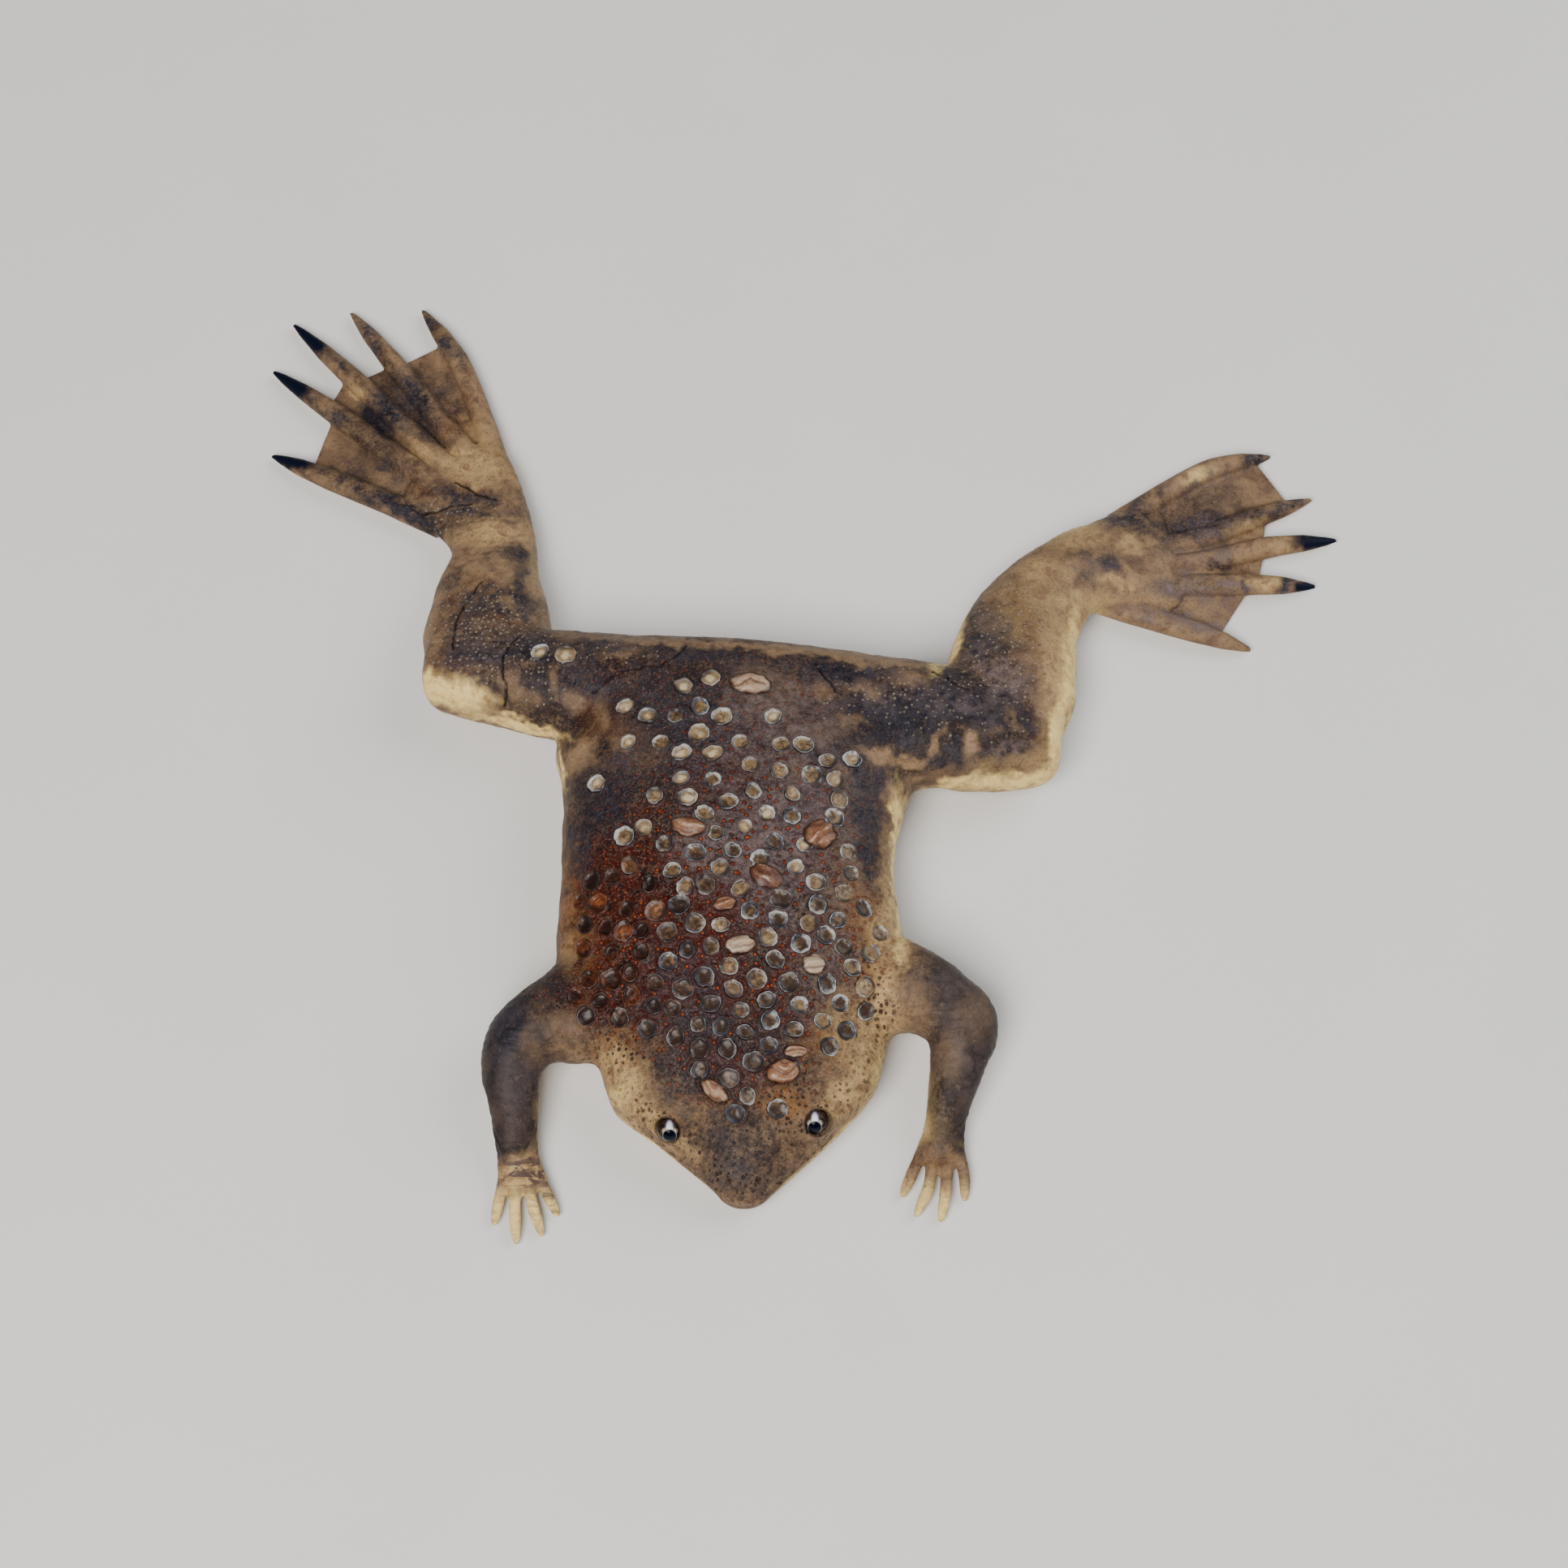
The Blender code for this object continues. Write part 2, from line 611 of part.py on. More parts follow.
def mouth_slit(line):
    """A thin plate that follows the outline, to be cut away between the lips."""
    rings = []
    for point, outward in line:
        inner = point - MOUTH_DEPTH * outward
        outer = point + 3.0 * outward
        half = Vector((0, 0, MOUTH_SLIT / 2))
        rings.append([inner - half, outer - half, outer + half, inner + half])
    return loft("slit", rings)


def finish_head(head):
    """Lids round the eyes, nostrils, lips and the line of the mouth."""
    line = mouth_line(head)
    skin = skin_of(head)
    added = [lip(line, 0.85), lip(line, -0.95)]
    removed = [mouth_slit(line)]
    for x, y in NOSTRILS:
        place = on_surface(skin, x, y)
        wing = ((NOSTRIL_RADIUS + 0.9, -0.8), (NOSTRIL_RADIUS + 0.45, 0.4))
        added.append(turned("wing", wing, 6, place))
        hole = ((NOSTRIL_RADIUS * 0.7, -NOSTRIL_DEPTH), (NOSTRIL_RADIUS, 1.0))
        removed.append(turned("nostril", hole, 6, place))
    for place in EYES.values():
        lean = on_surface(skin, place[0], place[1]).to_3x3().to_4x4()
        seat = Matrix.Translation(Vector(place)) @ lean
        reach = EYE_RADIUS + EYE_COLLAR
        lid = ((reach * 0.8, -4.0), (reach, -1.0), (EYE_RADIUS + 0.6, EYE_LIFT))
        added.append(turned("lid", lid, 10, seat))
        removed.append(sphere("socket", place, EYE_RADIUS + GAP))
    union_all(head, added)
    boolean(head, join("hollows", removed), "DIFFERENCE")


def material(name):
    colour, roughness = COLOURS[name]
    made = bpy.data.materials.new(name)
    made.use_nodes = True
    shader = made.node_tree.nodes["Principled BSDF"]
    shader.inputs["Base Color"].default_value = colour
    shader.inputs["Roughness"].default_value = roughness
    shader.inputs["Metallic"].default_value = 0.0
    return made


def sphere(name, centre, radius, segments=12, rings=8):
    mesh = bpy.data.meshes.new(name)
    bm = bmesh.new()
    bmesh.ops.create_uvsphere(bm, u_segments=segments, v_segments=rings, radius=radius)
    bmesh.ops.translate(bm, vec=Vector(centre), verts=bm.verts)
    bm.to_mesh(mesh)
    bm.free()
    obj = bpy.data.objects.new(name, mesh)
    bpy.context.collection.objects.link(obj)
    return obj


def keep_largest(obj):
    """Drop all but the largest closed surface."""
    bm = bmesh.new()
    bm.from_mesh(obj.data)
    left = set(bm.faces)
    surfaces = []
    while left:
        surface = {left.pop()}
        search = list(surface)
        while search:
            for edge in search.pop().edges:
                for face in edge.link_faces:
                    if face not in surface:
                        surface.add(face)
                        search.append(face)
        left -= surface
        surfaces.append(surface)
    surfaces.sort(key=lambda s: sum(f.calc_area() for f in s))
    loose = [f for surface in surfaces[:-1] for f in surface]
    bmesh.ops.delete(bm, geom=loose, context="FACES")
    bm.to_mesh(obj.data)
    bm.free()


def to_metres(objects):
    """Scale to metres and set the origin under the middle of the whole model."""
    points = np.array([v.co for obj in objects for v in obj.data.vertices])
    low, high = points.min(axis=0), points.max(axis=0)
    shift = Vector((-(low[0] + high[0]) / 2, -(low[1] + high[1]) / 2, 0.0))
    for obj in objects:
        obj.data.transform(Matrix.Scale(MM, 4) @ Matrix.Translation(shift))


def build():
    clear_scene()
    nodes = part_body(whole_body())
    for name, points in FINGERS.items():
        union_all(nodes[name], digits(points, FINGER_PROFILE, 6))
    for name in TOES:
        union_all(nodes[name], foot_pieces(name))
    sites = pit_sites()
    cut_pits(nodes["torso"], [site for site in sites if site[1] > NECK_Y])
    cut_pits(nodes["head"], [site for site in sites if site[1] < NECK_Y])
    finish_head(nodes["head"])
    for name, place in EYES.items():
        nodes[name] = sphere(name, place, EYE_RADIUS)
    finishes = {name: material(name) for name in COLOURS}
    for name, obj in nodes.items():
        kind = name.split("_")[0]
        finish = {"torso": "back", "head": "head", "eye": "eye", "hand": "digit",
                  "foot": "digit"}.get(kind, "limb")
        keep_largest(obj)
        obj.data.materials.clear()
        obj.data.materials.append(finishes[finish])
        obj.data.shade_smooth()
        obj.data.set_sharp_from_angle(angle=SHARP_ANGLE)
    to_metres(list(nodes.values()))


build()
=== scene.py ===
# %% [markdown]
# # A Surinam toad, as a life-size museum model
#
# The packed solids give the size and the pose. This lesson makes the looks: one
# soft skin over the whole animal, the brood pits on its back, and its small eyes.
# Real museum models are cast in one piece of silicone and then painted by hand in
# thin layers, so the lesson follows the same order: form, relief, paint.

# %% Load the packed model
import itertools
import math
import random

import bmesh
import bpy
import numpy as np
from mathutils import Matrix, Vector
from mathutils.bvhtree import BVHTree


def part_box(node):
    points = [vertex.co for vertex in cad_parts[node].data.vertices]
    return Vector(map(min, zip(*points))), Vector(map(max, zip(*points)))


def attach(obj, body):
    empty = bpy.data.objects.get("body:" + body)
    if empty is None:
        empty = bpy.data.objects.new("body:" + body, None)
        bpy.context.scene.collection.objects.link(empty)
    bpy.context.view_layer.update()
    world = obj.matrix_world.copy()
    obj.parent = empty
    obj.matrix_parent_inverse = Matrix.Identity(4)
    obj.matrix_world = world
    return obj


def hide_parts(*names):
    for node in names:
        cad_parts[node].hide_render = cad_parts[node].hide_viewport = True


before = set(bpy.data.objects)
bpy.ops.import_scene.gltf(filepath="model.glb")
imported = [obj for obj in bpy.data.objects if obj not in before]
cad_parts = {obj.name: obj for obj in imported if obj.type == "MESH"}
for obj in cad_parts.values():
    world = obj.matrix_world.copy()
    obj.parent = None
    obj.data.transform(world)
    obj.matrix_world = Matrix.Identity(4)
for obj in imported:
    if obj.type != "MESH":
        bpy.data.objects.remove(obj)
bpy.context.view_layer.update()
MM = 0.001

# %% [markdown]
# ## Two ways to say where a thing is
#
# The forms are drawn in millimetres, from a point under the animal's back, because
# round numbers in millimetres are easy to read on an animal of this size. The packed
# model is in metres with its origin under its own middle. An eye is in both, so the
# difference between its two places is the shift from one to the other.

# %% Millimetres to the packed model's frame
EYES = {"eye_right": (-16.4, -92.6, 15.0), "eye_left": (18.6, -91.0, 15.0)}
EYE_RADIUS = 3.2
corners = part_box("eye_left")
SHIFT = (Vector(corners[0]) + Vector(corners[1])) / 2 - MM * Vector(EYES["eye_left"])
SHIFT.z = 0.0


def placed(points):
    """Millimetres of the drawing to metres of the packed model."""
    return np.asarray(points, float) * MM + np.array(SHIFT)


print("shift in mm", [round(c / MM, 2) for c in SHIFT])

# %% [markdown]
# ## The camera
#
# The photograph looks down on the animal from in front, so steeply that hands, head
# and feet are all seen from above. A long lens keeps the perspective mild. The same
# numbers also give the way back: a mark that is read off the photograph at a pixel
# is painted where the ray through that pixel meets the skin.

# %% Camera
IMAGE_SIZE = 1932
LENS = 85.0
SENSOR = 36.0
PIXEL = 0.205                           # mm on the animal for one pixel
ELEVATION = math.radians(66.0)
AZIMUTH = math.radians(5.0)
AIM = Vector((11.0, 0.0, 10.0))
FOCAL = LENS / SENSOR * IMAGE_SIZE      # in pixels

level = Vector((math.cos(AZIMUTH), math.sin(AZIMUTH), 0.0))
AHEAD = Vector((-math.sin(AZIMUTH) * math.cos(ELEVATION),
                math.cos(AZIMUTH) * math.cos(ELEVATION), -math.sin(ELEVATION)))
roll = math.atan2(math.sin(AZIMUTH), math.cos(AZIMUTH) * math.sin(ELEVATION))
RIGHT = level * math.cos(roll) - level.cross(AHEAD) * math.sin(roll)
UP = RIGHT.cross(AHEAD)
STAND = AIM - AHEAD * FOCAL * PIXEL


def add_object(name, data):
    """A new object in the scene."""
    obj = bpy.data.objects.new(name, data)
    bpy.context.scene.collection.objects.link(obj)
    return obj


camera = add_object("camera", bpy.data.cameras.new("camera"))
camera.data.lens = LENS
camera.data.sensor_width = SENSOR
camera.matrix_world = (Matrix.Translation(Vector(placed(STAND)))
                       @ Matrix((RIGHT, UP, -AHEAD)).transposed().to_4x4())
bpy.context.scene.camera = camera


def pixels(points):
    """Where points of the drawing fall in the photograph."""
    away = np.asarray(points, float) - np.array(STAND)
    depth = away @ np.array(AHEAD)
    middle = IMAGE_SIZE / 2
    return np.stack((middle + FOCAL * (away @ np.array(RIGHT)) / depth,
                     middle - FOCAL * (away @ np.array(UP)) / depth), axis=1)


def sight(x, y):
    """Direction from the camera through a pixel."""
    middle = IMAGE_SIZE / 2
    return (AHEAD + RIGHT * (x - middle) / FOCAL - UP * (y - middle) / FOCAL).normalized()


print("camera", [round(c, 3) for c in camera.matrix_world.translation])

# %% [markdown]
# ## Form: trunk and limbs
#
# A Surinam toad is as flat as a leaf. Its trunk is lofted through cross-sections from
# snout to rump, wide and square-shouldered, and each limb is a tube through sections
# of its own width and height. Lofting is chosen over sculpting because every section
# is a row of plain sizes that can be checked against the solids.

# %% Sections of the trunk and limbs
# Trunk: y, middle x, half-width, top z, bottom z, z of the widest line
TRUNK = (
    (-109.4, 1.4, 2.2, 8.4, 3.6, 6.0),
    (-108.4, 1.4, 4.9, 9.8, 2.8, 6.0),
    (-106.0, 1.4, 7.6, 11.6, 1.6, 6.2),
    (-102.3, 1.4, 11.8, 14.2, 0.6, 6.6),
    (-98.0, 1.2, 16.6, 16.8, 0.0, 7.0),
    (-93.4, 0.9, 21.8, 19.0, -0.6, 7.4),
    (-90.1, 0.2, 25.8, 20.6, -1.0, 7.8),
    (-86.0, -0.4, 30.3, 22.2, -1.2, 8.2),
    (-82.0, 0.3, 32.7, 23.6, -1.2, 8.8),
    (-77.5, 0.6, 34.3, 25.0, -1.2, 9.2),
    (-72.0, 0.2, 35.8, 25.8, -1.2, 9.8),
    (-62.0, -0.8, 39.5, 28.0, -1.2, 10.6),
    (-48.0, -2.0, 43.2, 30.0, -1.2, 11.4),
    (-30.0, -3.0, 41.8, 31.4, -1.2, 12.0),
    (-18.0, -2.7, 41.9, 31.8, -1.2, 12.0),
    (-8.0, -1.4, 43.0, 31.4, -1.2, 12.0),
    (0.0, -0.4, 44.8, 30.8, -1.2, 12.0),
    (8.0, 0.2, 47.2, 29.8, -1.2, 12.0),
    (16.0, 0.2, 45.0, 28.4, -1.2, 12.0),
    (24.0, 0.0, 38.0, 26.6, -1.2, 12.0),
    (30.0, 0.0, 30.0, 23.0, -0.6, 11.6),
    (34.6, 0.0, 21.0, 18.6, 1.0, 11.0),
    (37.6, 0.0, 10.0, 14.0, 4.0, 10.0),
)
SQUARE_BACK = 2.25
SQUARE_BELLY = 3.4
# Limbs: x, y, z, half-width and half-height of each section
LIMBS = {
    "thighs": (
        (-80.8, 32.6, 11.0, 7.4, 6.5),
        (-77.8, 32.6, 11.2, 10.8, 9.6),
        (-70.0, 32.4, 11.6, 12.6, 11.6),
        (-58.0, 30.2, 12.2, 13.6, 12.4),
        (-45.0, 27.4, 12.6, 14.4, 13.0),
        (-25.0, 26.4, 12.6, 13.6, 13.2),
        (0.0, 25.8, 12.6, 12.6, 13.0),
        (22.0, 22.8, 12.6, 12.8, 13.0),
        (40.0, 15.8, 12.6, 17.0, 13.0),
        (53.0, 13.6, 12.2, 16.2, 12.6),
        (66.0, 11.4, 11.6, 14.8, 11.8),
        (77.0, 10.6, 11.2, 12.2, 10.0),
        (81.0, 10.4, 11.0, 8.0, 6.6),
    ),
    "shank_right": (
        (-67.6, 26.0, 11.2, 9.0, 8.0),
        (-66.8, 31.0, 11.2, 14.2, 10.8),
        (-65.8, 39.0, 11.0, 16.4, 11.4),
        (-65.2, 47.0, 10.4, 16.4, 10.8),
        (-65.6, 55.5, 9.4, 14.3, 9.6),
        (-65.0, 63.0, 8.0, 12.4, 8.0),
        (-65.2, 70.0, 6.6, 11.4, 6.6),
        (-67.4, 78.0, 5.4, 12.4, 5.6),
        (-72.4, 87.0, 4.4, 14.6, 4.6),
        (-77.0, 94.4, 3.4, 15.4, 3.4),
        (-79.4, 98.2, 2.8, 13.0, 2.0),
    ),
    "shank_left": (
        (67.0, 9.0, 11.2, 9.0, 8.0),
        (67.4, 14.0, 11.2, 14.6, 10.8),
        (68.6, 23.0, 11.0, 16.8, 11.4),
        (69.8, 33.0, 10.4, 16.4, 10.8),
        (72.8, 43.6, 9.4, 14.6, 9.6),
        (79.0, 53.2, 8.0, 12.6, 8.0),
        (87.0, 60.2, 6.6, 12.0, 6.6),
        (95.0, 62.8, 5.4, 13.6, 5.6),
        (102.6, 64.4, 4.4, 15.6, 4.6),
        (109.0, 65.8, 3.4, 16.4, 3.4),
        (112.4, 66.4, 2.8, 13.6, 2.0),
    ),
    "arm_right": (
        (-28.0, -57.0, 14.0, 10.0, 9.0),
        (-33.0, -58.6, 13.8, 13.0, 10.6),
        (-41.0, -62.6, 13.4, 13.0, 10.0),
        (-48.4, -65.0, 12.4, 10.1, 9.2),
        (-54.2, -69.8, 11.2, 8.9, 8.4),
        (-55.8, -76.0, 9.6, 7.8, 7.2),
        (-55.2, -83.0, 8.0, 6.6, 6.0),
        (-54.6, -90.5, 6.0, 5.6, 4.8),
        (-54.2, -96.0, 4.2, 5.5, 3.9),
        (-53.6, -101.0, 3.0, 6.2, 3.2),
        (-53.4, -103.6, 2.6, 4.8, 2.2),
    ),
    "arm_left": (
        (28.0, -52.0, 14.0, 10.0, 9.0),
        (33.0, -54.8, 13.8, 12.8, 10.6),
        (41.4, -56.8, 13.4, 11.6, 10.0),
        (49.2, -60.2, 12.4, 9.7, 9.2),
        (54.9, -65.6, 11.2, 8.9, 8.4),
        (54.0, -73.0, 9.6, 7.5, 7.2),
        (52.0, -81.0, 7.9, 6.1, 5.8),
        (50.4, -87.6, 5.8, 5.3, 4.7),
        (49.6, -92.4, 4.2, 5.6, 3.9),
        (48.9, -96.8, 3.0, 6.6, 3.2),
        (48.6, -99.4, 2.6, 5.0, 2.2),
    ),
    "vent": (
        (0.6, 28.0, 9.4, 4.0, 3.6),
        (0.6, 34.0, 9.0, 5.2, 4.4),
        (0.6, 38.4, 8.4, 3.8, 3.4),
        (0.6, 40.2, 8.0, 2.0, 2.0),
    ),
}
print(len(TRUNK), "sections of the trunk,", sum(map(len, LIMBS.values())), "of the limbs")

# %% [markdown]
# ## Fingers, toes and webs
#
# The hands end in four thin fingers that feel for food in the mud. The feet are
# paddles: five long pointed toes with a thin web between each two, cut off straight
# at its free edge. A digit is a tapered tube through a few points of its own line,
# and a web is a sheet that is stretched between two such lines.

# %% Lines of the fingers and toes
FINGERS = {
    "hand_right": (
        ((-57.0, -97.4, 2.8), (-58.6, -105.4, 2.2), (-60.0, -112.2, 1.2)),
        ((-54.9, -101.0, 3.0), (-54.8, -109.5, 2.4), (-54.3, -117.2, 1.2)),
        ((-51.6, -100.4, 3.0), (-50.5, -107.6, 2.4), (-48.0, -115.2, 1.2)),
        ((-50.6, -96.0, 2.8), (-47.4, -104.0, 2.2), (-44.3, -110.3, 1.2)),
    ),
    "hand_left": (
        ((52.8, -93.4, 2.8), (54.5, -101.0, 2.2), (54.5, -107.6, 1.2)),
        ((50.6, -96.4, 3.0), (50.0, -105.0, 2.4), (48.6, -112.8, 1.2)),
        ((47.0, -96.0, 3.0), (45.9, -104.0, 2.4), (42.5, -111.4, 1.2)),
        ((46.0, -91.6, 2.8), (42.2, -100.0, 2.2), (39.2, -106.4, 1.2)),
    ),
}
TOES = {
    "foot_right": (
        ((-64.8, 95.0, 3.0), (-70.6, 113.0, 2.6), (-77.4, 130.0, 2.4), (-87.7, 146.4, 1.2)),
        ((-71.0, 96.6, 3.4), (-82.0, 111.8, 2.8), (-94.4, 128.8, 2.6), (-107.2, 146.1, 1.2)),
        ((-76.0, 93.4, 3.4), (-91.0, 109.4, 2.8), (-105.4, 124.6, 2.6), (-122.6, 142.6, 1.2)),
        ((-80.0, 89.8, 3.4), (-95.4, 102.4, 2.8), (-110.4, 114.5, 2.6), (-127.4, 128.1, 1.2)),
        ((-79.4, 78.6, 3.2), (-95.6, 87.0, 2.8), (-110.6, 94.2, 2.6), (-126.4, 102.2, 1.2)),
    ),
    "foot_left": (
        ((97.0, 75.4, 3.0), (112.0, 85.6, 2.6), (124.4, 92.4, 2.4), (139.2, 96.2, 1.2)),
        ((100.0, 68.6, 3.4), (116.4, 70.4, 2.8), (133.4, 77.0, 2.6), (149.4, 83.2, 1.2)),
        ((103.0, 61.8, 3.4), (120.0, 64.4, 2.8), (137.2, 68.6, 2.6), (155.2, 71.0, 1.2)),
        ((96.0, 57.4, 3.4), (114.0, 57.8, 2.8), (131.8, 57.8, 2.6), (148.9, 57.6, 1.2)),
        ((91.0, 54.0, 3.2), (105.0, 48.6, 2.8), (117.6, 44.3, 2.6), (131.3, 39.5, 1.2)),
    ),
}
# Radius along a digit: share of its length, radius
FINGER_PROFILE = ((0.0, 1.7), (0.4, 1.45), (0.6, 1.5), (0.8, 1.3), (0.93, 1.0), (1.0, 0.6))
TOE_PROFILE = ((0.0, 3.4), (0.35, 3.1), (0.66, 3.0), (0.84, 2.3), (0.95, 1.2), (1.0, 0.5))
# How far each web runs out along the toes on its two sides, as shares of their length
WEB_REACH = {
    "foot_right": ((0.78, 0.66), (0.67, 0.66), (0.70, 0.70), (0.66, 0.77)),
    "foot_left": ((0.90, 0.88), (0.74, 0.64), (0.64, 0.71), (0.67, 0.79)),
}
WEB_THICKNESS = 1.1
WEB_LEVEL = 0.4
WEB_RISE = 1.6
print("fingers", sum(map(len, FINGERS.values())), "toes", sum(map(len, TOES.values())))

# %% [markdown]
# Three helpers turn such rows into closed bodies. The first puts a smooth curve
# through the rows, so that a few sections are enough. The second skins a list of
# rings. The third sets the rings of a limb square to its line, with the width kept
# level, because a toad's limbs are flattened the same way as its body.

# %% Curves
TRUNK_STEPS = 3           # rows from one section to the next


def smooth_rows(rows, steps):
    """More rows between each two, on a curve that passes through all of them."""
    rows = np.array(rows, float)
    ends = np.vstack((2 * rows[0] - rows[1], rows, 2 * rows[-1] - rows[-2]))
    out = []
    for a, b, c, d in zip(ends, ends[1:], ends[2:], ends[3:]):
        for t in np.arange(steps) / steps:
            out.append(0.5 * (2 * b + (c - a) * t + (2 * a - 5 * b + 4 * c - d) * t ** 2
                              + (3 * b - a - 3 * c + d) * t ** 3))
    out.append(rows[-1])
    return out


print("the trunk's", len(TRUNK), "sections become", len(smooth_rows(TRUNK, TRUNK_STEPS)))


# %% Lofts and limbs
def mesh_object(name, vertices, faces):
    mesh = bpy.data.meshes.new(name)
    mesh.from_pydata([tuple(v) for v in vertices], [], faces)
    return add_object(name, mesh)


def loft(name, rings):
    """A closed body through rings of equally many points, with a fan over each end."""
    count = len(rings[0])
    points = [p for ring in rings for p in ring]
    first = len(points)
    points.append(sum((Vector(p) for p in rings[0]), Vector()) / count)
    points.append(sum((Vector(p) for p in rings[-1]), Vector()) / count)
    faces = []
    for k in range(count):
        after = (k + 1) % count
        last = (len(rings) - 1) * count
        faces.append((first, after, k))
        faces.append((first + 1, last + k, last + after))
        for a in range(0, last, count):
            faces.append((a + k, a + after, a + count + after, a + count + k))
    obj = mesh_object(name, points, faces)
    face_outward(obj)
    return obj


def face_outward(obj):
    bm = bmesh.new()
    bm.from_mesh(obj.data)
    bmesh.ops.recalc_face_normals(bm, faces=bm.faces)
    bm.to_mesh(obj.data)
    bm.free()


def limb(name, rows, sides=20, steps=4):
    """A tube through sections, each with its own half-width and half-height."""
    rows = smooth_rows(rows, steps)
    rings = []
    for index, row in enumerate(rows):
        before = rows[max(index - 1, 0)]
        after = rows[min(index + 1, len(rows) - 1)]
        along = Vector(after[:3] - before[:3]).normalized()
        across = Vector((-along.y, along.x, 0)).normalized()
        rise = along.cross(across)
        turns = [2 * math.pi * k / sides for k in range(sides)]
        rings.append([Vector(row[:3]) + across * (row[3] * math.cos(turn))
                      + rise * (row[4] * math.sin(turn)) for turn in turns])
    return loft(name, rings)


print("limbs can be lofted:", ", ".join(LIMBS))


# %% The trunk
TRUNK_SIDES = 48


def power(value, exponent):
    """A power that keeps the sign of its value."""
    return math.copysign(abs(value) ** exponent, value)


def trunk():
    """Squared ovals from snout to rump, lofted."""
    rings = []
    for y, middle, half, top, bottom, widest in smooth_rows(TRUNK, TRUNK_STEPS):
        ring = []
        for k in range(TRUNK_SIDES):
            turn = 2 * math.pi * k / TRUNK_SIDES
            square = SQUARE_BACK if math.sin(turn) > 0 else SQUARE_BELLY
            reach = top - widest if math.sin(turn) > 0 else widest - bottom
            ring.append((middle + half * power(math.cos(turn), 2 / square), y,
                         widest + reach * power(math.sin(turn), 2 / square)))
        rings.append(ring)
    return loft("trunk", rings)


print("the trunk is", TRUNK[-1][0] - TRUNK[0][0], "mm long")

# %% [markdown]
# ## One skin
#
# Voxel remeshing melts crossing bodies into one surface, as plaster does over an
# armature. The trunk and limbs are melted at a coarse grid and smoothed until
# shoulders and hips flow. Fingers, toes and webs join them after that, at a fine
# grid with little smoothing, because a coarse one would lose their tips.

# %% Melt bodies into one
def bake(obj):
    """Keep the shape that the modifiers give, and drop them."""
    shape = bpy.data.meshes.new_from_object(
        obj.evaluated_get(bpy.context.evaluated_depsgraph_get()))
    obj.modifiers.clear()
    obj.data = shape


def melt(name, bodies, voxel, passes):
    """One surface round all bodies, on a grid of a voxel's size, then smoothed."""
    bm = bmesh.new()
    for body in bodies:
        bm.from_mesh(body.data)
        bpy.data.objects.remove(body)
    mesh = bpy.data.meshes.new(name)
    bm.to_mesh(mesh)
    bm.free()
    obj = add_object(name, mesh)
    remesh = obj.modifiers.new("melt", "REMESH")
    remesh.mode = "VOXEL"
    remesh.voxel_size = voxel
    soften = obj.modifiers.new("soften", "SMOOTH")
    soften.factor = 0.5
    soften.iterations = passes
    bake(obj)
    return obj


BODY_VOXEL = 1.3
BODY_PASSES = 9
bodies = [trunk()] + [limb(name, rows) for name, rows in LIMBS.items()]
body = melt("body", bodies, BODY_VOXEL, BODY_PASSES)
print("body", len(body.data.vertices), "points")


# %% Digits and webs
DIGIT_FLATNESS = 0.9
DIGIT_STEPS = 6
DIGIT_SIDES = 16
TOE_STEPS = 8             # for the edges of the webs, which need smoother curves


def digit(points, profile):
    """A tapered tube along the line of a finger or toe."""
    line = smooth_rows(points, DIGIT_STEPS)
    shares, radii = zip(*profile)
    along = np.linspace(0.0, 1.0, len(line))
    rows = [(*point, radius, DIGIT_FLATNESS * radius)
            for point, radius in zip(line, np.interp(along, shares, radii))]
    return limb("digit", rows, DIGIT_SIDES, 1)


def web(near_toe, far_toe, reach, rows=16, columns=10):
    """A thin sheet between two toes, with a straight free edge and a slight sag."""
    sides = []
    for toe, share in zip((near_toe, far_toe), reach):
        line = np.array(smooth_rows(toe, TOE_STEPS))
        places = np.linspace(0.0, share * (len(line) - 1), rows + 1)
        steps = range(len(line))
        sides.append(np.array([np.interp(places, steps, line[:, axis]) for axis in (0, 1)]).T)
    sheets = []
    for lift in (WEB_LEVEL, WEB_LEVEL + WEB_THICKNESS):
        for column in range(columns + 1):
            share = column / columns
            for row in range(rows + 1):
                x, y = sides[0][row] * (1 - share) + sides[1][row] * share
                sheets.append((x, y, lift + WEB_RISE * (1 - row / rows)))
    tall = rows + 1
    layer = tall * (columns + 1)
    faces = []
    for c, r in itertools.product(range(columns), range(rows)):
        a = c * tall + r
        corners = (a, a + tall, a + tall + 1, a + 1)
        faces.append(corners)
        faces.append(tuple(k + layer for k in reversed(corners)))
    border = [c * tall for c in range(columns + 1)]
    border += [columns * tall + r for r in range(1, tall)]
    border += [c * tall + rows for c in range(columns - 1, -1, -1)]
    border += list(range(rows - 1, 0, -1))
    for a, b in zip(border, border[1:] + border[:1]):
        faces.append((a, b, b + layer, a + layer))
    sheet = mesh_object("web", sheets, faces)
    face_outward(sheet)
    return sheet


SKIN_VOXEL = 0.45
SKIN_PASSES = 4
pieces = [body]
pieces += [digit(points, FINGER_PROFILE) for hand in FINGERS.values() for points in hand]
pieces += [digit(points, TOE_PROFILE) for foot in TOES.values() for points in foot]
for name, toes in TOES.items():
    pieces += [web(*ends) for ends in zip(toes, toes[1:], WEB_REACH[name])]
skin = melt("skin", pieces, SKIN_VOXEL, SKIN_PASSES)
print("skin", len(skin.data.vertices), "points")

# %% [markdown]
# ## Working on the skin as numbers
#
# From here the skin is treated as one long list of points with their normals, so a
# wrinkle or a pit is a few lines of arithmetic over all points at once. A smooth
# random field, made by blending random values at the corners of a grid of cubes,
# keeps everything slightly uneven, as nothing on an animal is exact.

# %% Points, normals and random fields
LATTICE = 32              # corners along each side of the grid of cubes, before it repeats


